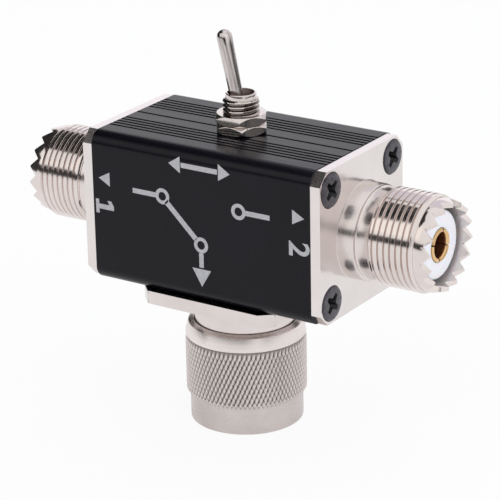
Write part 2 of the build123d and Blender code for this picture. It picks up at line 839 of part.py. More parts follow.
rocker_up = Plane(
    origin=(0, 0, rocker_z),
    x_dir=(math.cos(half_rock), 0, -math.sin(half_rock)),
    z_dir=(math.sin(half_rock), 0, math.cos(half_rock)),
)
with BuildPart() as rocker_contact:
    with BuildSketch(half_section(rocker_up)):
        with BuildLine():
            ThreePointArc(
                (-rocker_hump_reach, hump_z), (0, rocker_thickness), (rocker_hump_reach, hump_z)
            )
            Polyline(
                (rocker_hump_reach, hump_z),
                (rocker_wing_reach, rocker_thickness),
                (rocker_length / 2, rocker_thickness),
                (rocker_length / 2, 0),
                (rocker_wing_reach - rocker_thickness / 2, 0),
                (rocker_hump_reach, hump_z - rocker_thickness),
                (rocker_rib_radius, 0),
                (-rocker_rib_radius, 0),
                (-rocker_hump_reach, hump_z - rocker_thickness),
                (rocker_thickness / 2 - rocker_wing_reach, 0),
                (-rocker_length / 2, 0),
                (-rocker_length / 2, rocker_thickness),
                (-rocker_wing_reach, rocker_thickness),
                (-rocker_hump_reach, hump_z),
            )
        make_face()
        Circle(rocker_rib_radius)
    extrude(amount=rocker_width / 2, both=True)
save(rocker_contact, "rocker_contact")

head_radius = terminal_thickness / 2
head_drop = (
    contact_closed_gap + head_radius + terminal_pitch * math.sin(half_rock)
) / math.cos(half_rock)
head_z = rocker_z - head_drop
for number, side in ((1, -1), (2, 1)):
    with BuildPart() as terminal:
        with BuildSketch(Plane.XZ):
            with Locations((side * terminal_pitch, head_z)):
                Circle(head_radius)
                Rectangle(
                    terminal_thickness, head_z - terminal_bottom, align=(Align.CENTER, Align.MAX)
                )
        extrude(amount=terminal_width / 2, both=True)
        wire_hole = Plane(origin=(side * terminal_pitch, 0, wire_level), z_dir=(1, 0, 0))
        with Locations(wire_hole.location):
            Hole(cup_bore_radius)
    save(terminal, f"terminal_antenna_{number}")

cradle_radius = rocker_rib_radius + cradle_clearance
cradle_bottom = rocker_z - cradle_radius - cradle_wall
with BuildPart() as terminal_common:
    with BuildSketch(Plane.XZ):
        with Locations((0, rocker_z)):
            Rectangle(cradle_width, cradle_radius + cradle_wall, align=(Align.CENTER, Align.MAX))
            Circle(cradle_radius, mode=Mode.SUBTRACT)
            Rectangle(
                cradle_width, cradle_slot_depth, align=(Align.CENTER, Align.MAX), mode=Mode.SUBTRACT
            )
        with Locations((0, cradle_bottom)):
            Rectangle(
                terminal_thickness, cradle_bottom - terminal_bottom, align=(Align.CENTER, Align.MAX)
            )
    extrude(amount=terminal_width / 2, both=True)
    with Locations(Plane(origin=(0, 0, wire_level), z_dir=(1, 0, 0)).location):
        Hole(cup_bore_radius)
save(terminal_common, "terminal_common")

# ---------------------------------------------------------------- wires
cup_bottom = housing_length / 2 - cup_reach + cup_depth
for number, side in ((1, -1), (2, 1)):
    wire_end = side * (terminal_pitch - head_radius - wire_tail)
    bend_in = side * (terminal_pitch + head_radius + wire_straight)
    bend_out = bend_in + side * wire_bend_run
    with BuildPart() as wire:
        with BuildLine() as route:
            Line((side * cup_bottom, 0, axis_z), (bend_out, 0, axis_z))
            Spline(
                (bend_out, 0, axis_z),
                (bend_in, 0, wire_level),
                tangents=((-side, 0, 0), (-side, 0, 0)),
            )
            Line((bend_in, 0, wire_level), (wire_end, 0, wire_level))
        with BuildSketch(Plane(origin=route.line @ 0, z_dir=route.line % 0)):
            Circle(wire_radius)
        sweep()
    save(wire, f"wire_antenna_{number}")

common_start = housing_bottom + plug_cup_reach - cup_depth
with BuildPart() as wire_common:
    with BuildLine() as route:
        FilletPolyline(
            (0, 0, common_start),
            (0, 0, common_rise),
            (common_wire_offset, 0, common_rise + common_wire_offset),
            (common_wire_offset, 0, wire_level),
            (-head_radius - wire_tail, 0, wire_level),
            radius=common_wire_bend,
        )
    with BuildSketch(Plane(origin=route.line @ 0, z_dir=route.line % 0)):
        Circle(wire_radius)
    sweep()
save(wire_common, "wire_common")
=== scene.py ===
import bpy
import bmesh
import json
import math
from mathutils import Matrix, Vector


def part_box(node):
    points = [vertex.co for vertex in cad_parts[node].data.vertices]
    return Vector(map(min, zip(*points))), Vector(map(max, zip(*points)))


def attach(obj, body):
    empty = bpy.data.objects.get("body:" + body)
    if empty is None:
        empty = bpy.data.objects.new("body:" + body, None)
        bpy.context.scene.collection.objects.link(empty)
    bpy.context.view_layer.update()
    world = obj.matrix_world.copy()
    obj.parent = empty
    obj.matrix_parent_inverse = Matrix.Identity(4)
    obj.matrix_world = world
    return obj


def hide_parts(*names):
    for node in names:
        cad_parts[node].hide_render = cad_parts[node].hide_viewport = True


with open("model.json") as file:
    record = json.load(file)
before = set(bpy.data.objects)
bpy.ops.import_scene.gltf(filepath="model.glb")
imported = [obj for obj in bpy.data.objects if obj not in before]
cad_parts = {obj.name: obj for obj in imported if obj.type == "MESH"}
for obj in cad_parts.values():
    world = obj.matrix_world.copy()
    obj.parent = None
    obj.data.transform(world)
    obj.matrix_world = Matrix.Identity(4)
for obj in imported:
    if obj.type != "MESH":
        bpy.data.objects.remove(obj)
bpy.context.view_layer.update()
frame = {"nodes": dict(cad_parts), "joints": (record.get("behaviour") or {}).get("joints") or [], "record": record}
MM = 0.001


# ------------------------------------------------------------------ sizes from the solids, in millimetres
def corners_of(node):
    """The lowest and highest corners of a solid."""
    return [[round(value / MM, 3) for value in corner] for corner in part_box(node)]


housing_low, housing_high = corners_of("housing_tube")
HOUSING_HALF, HALF_SIDE, _ = housing_high
HOUSING_BOTTOM = housing_low[2]
AXIS_Z = round((housing_low[2] + housing_high[2]) / 2, 3)
SOCKET_LENGTH = round(corners_of("antenna_2_socket_body")[1][0] - HOUSING_HALF, 3)
KNURL_CREST, _, NUT_LENGTH = corners_of("coupling_nut")[1]
lever_throw = next(joint for joint in frame["joints"] if joint["name"] == "lever_throw")
PIVOT_Z = round(lever_throw["pos_m"][2] / MM, 3)
LEVER_LEAN = math.radians(lever_throw["range_deg"][1] / 2)

# ------------------------------------------------------------------ sizes of the new pieces, in millimetres
# Turns are in degrees
# Housing: its rounded corners and the grooves of its top and underside
HOUSING_CORNER = 2.4
HOUSING_EDGE = 0.07
GROOVE_WIDTH = 0.42
GROOVE_DEPTH = 0.35
GROOVE_PITCH = 1.1
GROOVE_GROUP_Y = 5.55
GROOVES_EACH_SIDE = 5

# Print on the front
INK = 0.025
STROKE = 0.85
BLADE_STROKE = 0.95
DOT_RADIUS = 1.35
DOT_WALL = 0.62
DIGIT_SIZE = 5.2

# Flange plates and their countersunk screws
ANTENNA_PLATE = 1.75
PLUG_PLATE = 2.25
PLATE_EDGE = 0.16
SCREW_REACH = 9.4
SCREW_LENGTH = 7.6
SCREW_RADIUS = 1.5
HEAD_RADIUS = 2.8
HEAD_SINK = 0.15
HEAD_TOP = 0.21
RECESS_DEPTH = 1.2
RECESS_TAPER = 0.5
SCREW_EDGE = 0.05

# Antenna sockets, measured out from the housing's end
THREAD_PITCH = 1.058
THREAD_RADIUS = 7.94
THREAD_DEPTH = 0.38
THREAD_START = 7.0
THREAD_END = SOCKET_LENGTH - 2.7
TEETH_ROOT = SOCKET_LENGTH - 1.6
TOOTH_TURN = 22.5
FIRST_TOOTH = 18.0
TOOTH_LEAN = 0.36
TOOTH_FLARE = 0.05
BOSS_RADIUS = 7.9
BOSS_END = 4.85
NECK_RADIUS = 7.35
SOCKET_BORE = 6.35
SHELL_FLOOR = 2.6
SHELL_HOLE = 4.7

# Contacts
CONTACT_RADIUS = 2.70
CONTACT_BORE = 1.98
CONTACT_FLOOR = SOCKET_LENGTH - 12.5
CONTACT_SHOULDER = CONTACT_FLOOR - 1.6
SLOT_ROOT = 7.9
SLOT_TURN = 5.5
FIRST_SLOT = -15.0
SLEEVE_END = 15.3
CUP_RADIUS = 1.6
CUP_BORE = 0.56
CUP_FLOOR = -4.0
CUP_END = -7.0

# Coupling nut
NUT_BORE = 8.60
BAND_RADIUS = 9.45
RING_RADIUS = 10.05
RING_GROOVE = 9.78
KNURL_FLOOR = 9.74
KNURL_START = 4.42
KNURL_END = 14.65
KNURL_ROWS = 12
KNURL_COLUMNS = 160
KNURL_ROW = (KNURL_END - KNURL_START) / KNURL_ROWS
LINER_RADIUS = 8.65
LINER_BORE = 8.30
LINER_START = 0.02
LINER_END = 12.9
NUT_THREAD_RADIUS = 7.47
NUT_THREAD_DEPTH = 0.5
NUT_THREAD_CORE = 8.0
NUT_THREAD_START = 0.55
NUT_THREAD_END = 9.45

# Toggle, measured from its pivot
BUSHING_SPLIT = 0.4
BUSHING_TOP = 4.5
BUSHING_THREAD_RADIUS = 2.98
BUSHING_THREAD_PITCH = 0.75
BUSHING_THREAD_DEPTH = 0.42
BUSHING_THREAD_END = 3.66
BUSHING_CORE = 2.62
BUSHING_MOUTH = 2.17
COLLAR_RADIUS = 2.50
LEVER_SPLIT = 2.6
LEVER_LENGTH = 14.8
LEVER_ROOT_RADIUS = 1.02
LEVER_TIP_RADIUS = 1.28

# Vertices that are nearer than this become one
MERGE = 1e-4
FINE_MERGE = 1e-5

# ------------------------------------------------------------------ where the pieces stand
UPRIGHT = Matrix.Identity(4)
PLUG_FRAME = Matrix.Translation((0, 0, HOUSING_BOTTOM)) @ Matrix.Rotation(math.pi, 4, "X")
BUSHING_FRAME = Matrix.Translation((0, 0, PIVOT_Z))
LEVER_FRAME = BUSHING_FRAME @ Matrix.Rotation(-LEVER_LEAN, 4, "Y")


def socket_frame(side):
    """The place of a socket that is made with z out along its axis and x along +Y."""
    out = Vector((side, 0, 0))
    across = Vector((0, 1, 0))
    turn = Matrix((across, out.cross(across), out)).transposed().to_4x4()
    return Matrix.Translation((side * HOUSING_HALF, 0, AXIS_Z)) @ turn


# ------------------------------------------------------------------ finishes
# Scale of a metal's fine lines along each axis. The smaller it is, the longer the lines are drawn out
EVEN = (1, 1, 1)
AROUND_X = (1, 0.03, 0.03)
AROUND_Z = (0.03, 0.03, 1)
ALONG_X = (0.012, 1, 1)
ALONG_Z = (1, 1, 0.04)


def emptied_tree(owner, output):
    """Clears the nodes of a material or world. Gives its tree and the input of its new output."""
    owner.use_nodes = True
    owner.node_tree.nodes.clear()
    return owner.node_tree, owner.node_tree.nodes.new(output).inputs["Surface"]


def new_material(name):
    """A material with one surface shader, its tree, that shader and the object's coordinates."""
    material = bpy.data.materials.new(name)
    tree, surface = emptied_tree(material, "ShaderNodeOutputMaterial")
    shader = tree.nodes.new("ShaderNodeBsdfPrincipled")
    tree.links.new(shader.outputs["BSDF"], surface)
    place = tree.nodes.new("ShaderNodeTexCoord")
    return material, tree, shader, place.outputs["Object"]


def drawn_out(tree, place, scale, lean=0.0):
    """Object coordinates scaled along each axis, with the axes first turned about Y by the lean."""
    mapping = tree.nodes.new("ShaderNodeMapping")
    mapping.vector_type = "TEXTURE"
    mapping.inputs["Scale"].default_value = [1 / s for s in scale]
    mapping.inputs["Rotation"].default_value = (0, -lean, 0)
    tree.links.new(place, mapping.inputs["Vector"])
    return mapping.outputs["Vector"]


def noise(tree, vector, scale, detail, roughness=0.55):
    node = tree.nodes.new("ShaderNodeTexNoise")
    node.inputs["Scale"].default_value = scale
    node.inputs["Detail"].default_value = detail
    node.inputs["Roughness"].default_value = roughness
    tree.links.new(vector, node.inputs["Vector"])
    return node.outputs["Fac"]


def ramp(tree, value, stops):
    """A colour ramp through (position, grey or colour) stops."""
    node = tree.nodes.new("ShaderNodeValToRGB")
    elements = node.color_ramp.elements
    while len(elements) < len(stops):
        elements.new(0.5)
    for element, (position, colour) in zip(elements, stops):
        element.position = position
        element.color = (*colour, 1) if isinstance(colour, tuple) else (colour, colour, colour, 1)
    tree.links.new(value, node.inputs["Fac"])
    return node.outputs["Color"]


def shade(tree, shader, pattern, stops):
    """Lets the shader's colour follow a pattern through a ramp."""
    tree.links.new(ramp(tree, pattern, stops), shader.inputs["Base Color"])


def dull(tree, shader, pattern, stops):
    """Lets the shader's roughness follow a pattern through a ramp."""
    tree.links.new(ramp(tree, pattern, stops), shader.inputs["Roughness"])


def bump(tree, shader, height, strength, distance):
    node = tree.nodes.new("ShaderNodeBump")
    node.inputs["Strength"].default_value = strength
    node.inputs["Distance"].default_value = distance
    tree.links.new(height, node.inputs["Height"])
    tree.links.new(node.outputs["Normal"], shader.inputs["Normal"])


def plated_metal(
    name, light, dark, rough, lines=EVEN, grain=0.02, fineness=2600, lean=0.0, painted_reflection_streaks=False
):
    """A plated metal with faint turning or rolling lines, along which its roughness varies.

    Its colour drifts from light to dark in soft clouds, or, for painted reflection streaks, along the lines as a
    painted reflection.
    """
    material, tree, shader, place = new_material(name)
    shader.inputs["Metallic"].default_value = 1.0
    clouds = noise(tree, place, 120, detail=4)
    streaks = noise(tree, drawn_out(tree, place, lines, lean), fineness, detail=2)
    # Along the lines the colour is a painted reflection; in clouds it is a random tone
    shade(tree, shader, streaks if painted_reflection_streaks else clouds, ((0.35, dark), (0.65, light)))
    dull(tree, shader, streaks, ((0.3, rough[0]), (0.7, rough[1])))
    bump(tree, shader, streaks, grain, distance=0.00004)
    return material


def coated(name, light, dark, rough, fineness, subsurface=0.0, grain=0.05):
    """A moulded, printed or coated surface with a mottled tone and roughness."""
    material, tree, shader, place = new_material(name)
    shader.inputs["Subsurface Weight"].default_value = subsurface
    shader.inputs["Subsurface Scale"].default_value = 0.0008
    mottle = noise(tree, place, fineness, detail=5)
    shade(tree, shader, mottle, ((0.35, dark), (0.65, light)))
    dull(tree, shader, mottle, ((0.3, rough[0]), (0.7, rough[1])))
    bump(tree, shader, mottle, grain, distance=0.00005)
    return material


def black_anodised():
    """Satin black extrusion, with fine draw lines along X and a faint drift of tone."""
    material, tree, shader, place = new_material("black_anodised")
    shader.inputs["IOR"].default_value = 1.29
    draw_lines = noise(tree, drawn_out(tree, place, ALONG_X), 5200, detail=3, roughness=0.7)
    clouds = noise(tree, place, 90, detail=5)
    shade(tree, shader, clouds, ((0.3, (0.0022, 0.0018, 0.0044)), (0.7, (0.0040, 0.0034, 0.0070))))
    dull(tree, shader, draw_lines, ((0.25, 0.20), (0.75, 0.34)))
    bump(tree, shader, draw_lines, 0.10, distance=0.00006)
    return material


def painted_shade_knurl_nickel(crest, root):
    """Nickel that is bright on the knurl's crests and darkens to brown down in its grooves, as painted shade."""
    material, tree, shader, place = new_material("painted_shade_knurl_nickel")
    shader.inputs["Metallic"].default_value = 1.0
    flat = tree.nodes.new("ShaderNodeVectorMath")
    flat.operation = "MULTIPLY"
    flat.inputs[1].default_value = (1, 1, 0)
    tree.links.new(place, flat.inputs[0])
    radius = tree.nodes.new("ShaderNodeVectorMath")
    radius.operation = "LENGTH"
    tree.links.new(flat.outputs["Vector"], radius.inputs[0])
    height = tree.nodes.new("ShaderNodeMapRange")
    height.inputs["From Min"].default_value = KNURL_FLOOR * MM
    height.inputs["From Max"].default_value = KNURL_CREST * MM
    tree.links.new(radius.outputs["Value"], height.inputs["Value"])
    between = tuple(0.45 * r + 0.55 * c for r, c in zip(root, crest))
    # Painted shade: the colour darkens from the crest colour on the crests to the root colour at the groove floor
    shade(tree, shader, height.outputs["Result"], ((0.04, root), (0.30, between), (0.62, crest)))
    scuffs = noise(tree, place, 2400, detail=3)
    dull(tree, shader, scuffs, ((0.3, 0.16), (0.7, 0.34)))
    bump(tree, shader, scuffs, 0.12, distance=0.00004)
    return material


# The finishes of the record's slots
FINISH = {
    "black_anodised": black_anodised(),
    "nickel_plate": plated_metal(
        "nickel_plate", (0.80, 0.75, 0.735), (0.755, 0.705, 0.69), (0.15, 0.19), grain=0.004
    ),
    # Painted shade: the nut's nickel is made darker than the plate's, for the shaded floor that it reflects
    "knurled_nickel": plated_metal(
        "knurled_nickel", (0.68, 0.62, 0.60), (0.58, 0.52, 0.50), (0.22, 0.32), AROUND_Z, 0.16, fineness=7000
    ),
    "bright_nickel": plated_metal("bright_nickel", (0.74, 0.68, 0.65), (0.66, 0.60, 0.57), (0.05, 0.12)),
    "white_ptfe": coated(
        "white_ptfe", (0.88, 0.88, 0.93), (0.84, 0.84, 0.89), (0.42, 0.55), fineness=700, subsurface=0.2
    ),
    "gold_plate": plated_metal("gold_plate", (0.86, 0.58, 0.30), (0.72, 0.46, 0.22), (0.08, 0.18)),
    "silver_plate": plated_metal("silver_plate", (0.88, 0.86, 0.82), (0.80, 0.78, 0.73), (0.12, 0.22)),
    "black_screws": coated(
        "black_screws", (0.062, 0.056, 0.074), (0.020, 0.018, 0.026), (0.16, 0.34), fineness=1300, grain=0.7
    ),
    "spring_steel": plated_metal("spring_steel", (0.55, 0.55, 0.56), (0.46, 0.46, 0.47), (0.20, 0.34)),
    "phenolic": coated("phenolic", (0.26, 0.045, 0.035), (0.19, 0.030, 0.024), (0.35, 0.50), fineness=420),
    "nylon": coated(
        "nylon", (0.84, 0.82, 0.75), (0.76, 0.74, 0.66), (0.38, 0.50), fineness=600, subsurface=0.15
    ),
    "tinned_copper": plated_metal("tinned_copper", (0.74, 0.73, 0.71), (0.64, 0.62, 0.60), (0.22, 0.34)),
}

# Finishes of single pieces and of parts of a piece
TURNED_NICKEL = plated_metal(
    "turned_nickel", (0.80, 0.725, 0.70), (0.72, 0.65, 0.62), (0.09, 0.15), AROUND_X, 0.06, fineness=6500
)
BOSS_NICKEL = plated_metal(
    "boss_nickel", (0.80, 0.735, 0.71), (0.73, 0.665, 0.64), (0.19, 0.25), AROUND_X, 0.04
)
# Painted light: a lighter nickel for the socket's bore, its floor and the inside of its teeth
CROWN_PAINTED_LIGHT_NICKEL = plated_metal("crown_painted_light_nickel", (0.88, 0.84, 0.82), (0.80, 0.76, 0.74), (0.36, 0.46))
UPRIGHT_NICKEL = plated_metal(
    "upright_nickel", (0.78, 0.72, 0.70), (0.71, 0.65, 0.625), (0.12, 0.20), AROUND_Z, 0.05
)
# Painted light: the nut's nickel made lighter for its top ring
RING_PAINTED_LIGHT_NICKEL = plated_metal(
    "ring_painted_light_nickel", (0.86, 0.79, 0.765), (0.79, 0.72, 0.695), (0.24, 0.32), AROUND_Z, 0.05
)
# Painted shade: a dark nickel for the bushing's thread grooves
GROOVE_PAINTED_SHADE_NICKEL = plated_metal(
    "groove_painted_shade_nickel", (0.30, 0.26, 0.24), (0.20, 0.17, 0.155), (0.12, 0.22), AROUND_Z, 0.06
)
# Painted reflection: the lever's colour runs in light and dark streaks along its length
LEVER_PAINTED_REFLECTION_NICKEL = plated_metal(
    "lever_painted_reflection_nickel",
    (0.80, 0.74, 0.73),
    (0.36, 0.32, 0.31),
    (0.08, 0.24),
    ALONG_Z,
    grain=0.8,
    lean=LEVER_LEAN,
    painted_reflection_streaks=True,
)
# Painted shade: a dark nickel for the bushing's bore
BORE_PAINTED_SHADE_NICKEL = plated_metal("bore_painted_shade_nickel", (0.30, 0.25, 0.22), (0.20, 0.16, 0.14), (0.30, 0.45), AROUND_Z, 0.10)
GOLD_BORE = plated_metal("gold_bore", (0.50, 0.24, 0.13), (0.34, 0.15, 0.08), (0.34, 0.48), AROUND_X, 0.10)
# The knurl's nickel, with painted shade in dark brown at the root of its grooves
KNURL_PAINTED_SHADE_NICKEL = painted_shade_knurl_nickel(crest=(0.72, 0.655, 0.63), root=(0.12, 0.10, 0.088))
# Painted shade: a blacker black for the screws' cross recesses
RECESS_PAINTED_SHADE_BLACK = coated("recess_painted_shade_black", (0.006, 0.006, 0.008), (0.002, 0.002, 0.003), (0.40, 0.60), 1800)
PRINT_INK = coated("print_ink", (0.46, 0.46, 0.48), (0.38, 0.38, 0.40), (0.50, 0.62), 2400, grain=0.25)


# ------------------------------------------------------------------ shaping
def everything(bm):
    """All of a bmesh, for an operator that works on the whole."""
    return bm.verts[:] + bm.edges[:] + bm.faces[:]


def verts_in(geom):
    """The vertices in what an operator gives back."""
    return [part for part in geom if isinstance(part, bmesh.types.BMVert)]


def edges_in(geom):
    """The edges in what an operator gives back."""
    return [part for part in geom if isinstance(part, bmesh.types.BMEdge)]


def off_axis(point):
    """How far a point is from the z axis."""
    return math.hypot(point.x, point.y)


def to_radius(vert, radius):
    """Moves a vertex straight towards the z axis or away from it."""
    x, y, z = vert.co
    now = math.hypot(x, y)
    vert.co = (x * radius / now, y * radius / now, z)


def draw_profile(bm, profile, closed=True):
    """Draws (radius, distance along the axis) points as a line to be spun."""
    line = [bm.verts.new((radius, 0, along)) for radius, along in profile]
    following = line[1:] + line[:1] if closed else line[1:]
    return line + [bm.edges.new(pair) for pair in zip(line, following)]


def spin(bm, line, angle, steps, rise=0.0):
    """Spins a line round the z axis, and lifts it by the rise at each step."""
    bmesh.ops.spin(bm, geom=line, axis=(0, 0, 1), dvec=(0, 0, rise), angle=angle, steps=steps)


def double_up(bm, shares):
    """Adds a copy of the whole, turned about z by each share in turn, so that an arc becomes a full turn."""
    for share in shares:
        copy = bmesh.ops.duplicate(bm, geom=everything(bm))["geom"]
        bmesh.ops.rotate(bm, verts=verts_in(copy), matrix=Matrix.Rotation(math.tau / share, 3, "Z"))


def turned(profile, steps, closed=True):
    """A turned shape from (radius, distance along the axis) points. A sixteenth is spun, then doubled up."""
    bm = bmesh.new()
    spin(bm, draw_profile(bm, profile, closed), math.tau / 16, steps // 16)
    double_up(bm, (16, 8, 4, 2))
    bmesh.ops.remove_doubles(bm, verts=bm.verts, dist=MERGE)
    return bm


# Half a pitch of a thread, from the middle of a crest: (share of the pitch, share of the depth)
FLAT_CRESTED = (
    (0.0, 0.0), (0.29, 0.0), (0.33, 0.07), (0.355, 0.25), (0.425, 0.85), (0.45, 0.97), (0.475, 1.0)
)
SHARP_CRESTED = ((0.0, 0.0), (0.10, 0.0), (0.15, 0.10), (0.38, 0.88), (0.43, 1.0))


def wind_thread(bm, radius, pitch, depth, start, end, steps, half_form=FLAT_CRESTED, cover=0.3):
    """Winds a right-hand thread round the z axis. A negative depth cuts it into a nut's bore.

    It runs out at both ends. A wall joins its two rims inside the metal, past its root by the cover.
    """
    before = set(bm.verts)
    form = half_form + ((0.5, 1.0),) + tuple((1 - share, sunk) for share, sunk in reversed(half_form))
    profile = [(radius - depth * sunk, start - pitch + pitch * share) for share, sunk in form]
    spin(bm, draw_profile(bm, profile, closed=False), math.tau, steps, rise=pitch / steps)
    turn = [vert for vert in bm.verts if vert not in before]
    turn += list({e for v in turn for e in v.link_edges}) + list({f for v in turn for f in v.link_faces})
    for count in range(1, math.ceil((end - start) / pitch) + 1):
        copy = bmesh.ops.duplicate(bm, geom=turn)["geom"]
        bmesh.ops.translate(bm, vec=(0, 0, count * pitch), verts=verts_in(copy))

    root = radius - depth
    run_out = 0.4 * pitch
    for vert in [vert for vert in bm.verts if vert not in before]:
        z = vert.co.z
        fade = min(1.0, max(0.0, (z - start) / run_out), max(0.0, (end - z) / run_out))
        to_radius(vert, root + (off_axis(vert.co) - root) * fade)
        vert.co.z = min(end, max(start, z))
    bmesh.ops.remove_doubles(bm, verts=[vert for vert in bm.verts if vert not in before], dist=MERGE)

    rims = [edge for edge in bm.edges if edge.is_boundary and edge.verts[0] not in before]
    wall = bmesh.ops.extrude_edge_only(bm, edges=rims)["geom"]
    inner = root - math.copysign(cover, depth)
    for vert in verts_in(wall):
        vert.co.x *= inner / root
        vert.co.y *= inner / root
    bmesh.ops.bridge_loops(bm, edges=[edge for edge in edges_in(wall) if edge.is_boundary])


def pick_finishes(bm, finishes, finish_at):
    """Gives each face the finish that finish_at names for the radius and height of its middle."""
    for face in bm.faces:
        middle = face.calc_center_median()
        face.material_index = finishes.index(finish_at(off_axis(middle), middle.z))


# ------------------------------------------------------------------ making pieces
def add_object(name, data):
    added = bpy.data.objects.new(name, data)
    bpy.context.scene.collection.objects.link(added)
    return added


def add_piece(bm, name, body, slot, finishes, crease, node):
    """Turns a bmesh in metres into a piece that rides on a body, and stands for a node if one is named."""
    mesh = bpy.data.meshes.new(name)
    bm.to_mesh(mesh)
    bm.free()
    mesh.shade_smooth()
    mesh.set_sharp_from_angle(angle=math.radians(crease))
    for finish in finishes or [FINISH[slot]]:
        mesh.materials.append(finish)
    piece = add_object(name, mesh)
    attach(piece, body)
    if node:
        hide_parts(node)
    return piece


def finish_piece(bm, name, body, slot, place=UPRIGHT, finishes=(), crease=40, node=None):
    """Turns a new bmesh in millimetres into a piece at its place."""
    bmesh.ops.remove_doubles(bm, verts=bm.verts, dist=FINE_MERGE)
    bmesh.ops.recalc_face_normals(bm, faces=bm.faces)
    bmesh.ops.transform(bm, matrix=Matrix.Scale(MM, 4) @ place, verts=bm.verts)
    return add_piece(bm, name, body, slot, finishes, crease, node)


def soften(piece, width):
    """Small rounded edges on a piece, and shading that keeps its flats flat."""
    edge = piece.modifiers.new("edge", "BEVEL")
    edge.width = width * MM
    edge.segments = 2
    edge.limit_method = "ANGLE"
    edge.angle_limit = math.radians(35)
    edge.use_clamp_overlap = True
    flats = piece.modifiers.new("flats", "WEIGHTED_NORMAL")
    flats.keep_sharp = True
    flats.weight = 100


def dressed_copy(node, body, slot, edge, name=None, finishes=(), crease=30, cut=None):
    """A merged copy of a solid with small rounded edges. A cut (point, normal) takes its outer side off."""
    bm = bmesh.new()
    bm.from_mesh(frame["nodes"][node].data)
    bmesh.ops.scale(bm, vec=(1 / MM, 1 / MM, 1 / MM), verts=bm.verts)
    bmesh.ops.remove_doubles(bm, verts=bm.verts, dist=MERGE)
    if cut:
        point, normal = cut
        rim = bmesh.ops.bisect_plane(
            bm, geom=everything(bm), plane_co=point, plane_no=normal, clear_outer=True
        )["geom_cut"]
        bmesh.ops.triangle_fill(bm, edges=edges_in(rim), use_beauty=True, normal=normal)
    bmesh.ops.transform(bm, matrix=Matrix.Scale(MM, 4), verts=bm.verts)
    soften(add_piece(bm, name or node + "_dressed", body, slot, finishes, crease, node), edge)


# ------------------------------------------------------------------ housing
def make_housing():
    """The grooved square tube, drawn as its outline and pulled along X."""
    bm = bmesh.new()
    square = ((-1, -1), (1, -1), (1, 1), (-1, 1))
    corners = [bm.verts.new((-HOUSING_HALF, y * HALF_SIDE, z * HALF_SIDE)) for y, z in square]
    bm.faces.new(corners)
    bmesh.ops.bevel(
        bm, geom=corners, offset=HOUSING_CORNER, segments=14, profile=0.5, affect="VERTICES", material=-1
    )
    pulled = bmesh.ops.extrude_face_region(bm, geom=bm.faces[:])["geom"]
    bmesh.ops.translate(bm, vec=(2 * HOUSING_HALF, 0, 0), verts=verts_in(pulled))

    middle_of_group = (GROOVES_EACH_SIDE - 1) / 2
    grooves = [0.0]
    for side in (-1, 1):
        for count in range(GROOVES_EACH_SIDE):
            grooves.append(side * (GROOVE_GROUP_Y + (count - middle_of_group) * GROOVE_PITCH))
    for groove in grooves:
        for wall in (groove - GROOVE_WIDTH / 2, groove + GROOVE_WIDTH / 2):
            bmesh.ops.bisect_plane(bm, geom=everything(bm), plane_co=(0, wall, 0), plane_no=(0, 1, 0))
    strips = [
        face
        for face in bm.faces
        if abs(face.normal.z) > 0.99
        and any(abs(face.calc_center_median().y - groove) < GROOVE_WIDTH / 4 for groove in grooves)
    ]
    bmesh.ops.inset_individual(bm, faces=strips, thickness=0.0, depth=-GROOVE_DEPTH)

    front = [vert for vert in bm.verts if vert.co.y < 0.001 - HALF_SIDE]
    bmesh.ops.translate(bm, vec=(0, INK, 0), verts=front)
    place = Matrix.Translation((0, 0, AXIS_Z))
    shell = finish_piece(
        bm, "housing_shell", "switch_body", "black_anodised", place, crease=35, node="housing_tube"
    )
    soften(shell, HOUSING_EDGE)


# ------------------------------------------------------------------ antenna sockets
def cut_teeth(bm):
    """Shapes the wall past the band into pointed teeth, which lean in outside and flare a little inside."""
    for vert in bm.verts:
        x, y, z = vert.co
        if z <= TEETH_ROOT:
            continue
        turn = (math.degrees(math.atan2(y, x)) - FIRST_TOOTH) / TOOTH_TURN
        from_tip = abs((turn + 0.5) % 1.0 - 0.5) * 2
        rise = min(1.0, 1.05 - from_tip)
        radius = off_axis(vert.co)
        to_radius(vert, radius - rise * TOOTH_LEAN if radius > NECK_RADIUS else radius + rise * TOOTH_FLARE)
        vert.co.z = TEETH_ROOT + rise * (SOCKET_LENGTH - TEETH_ROOT)


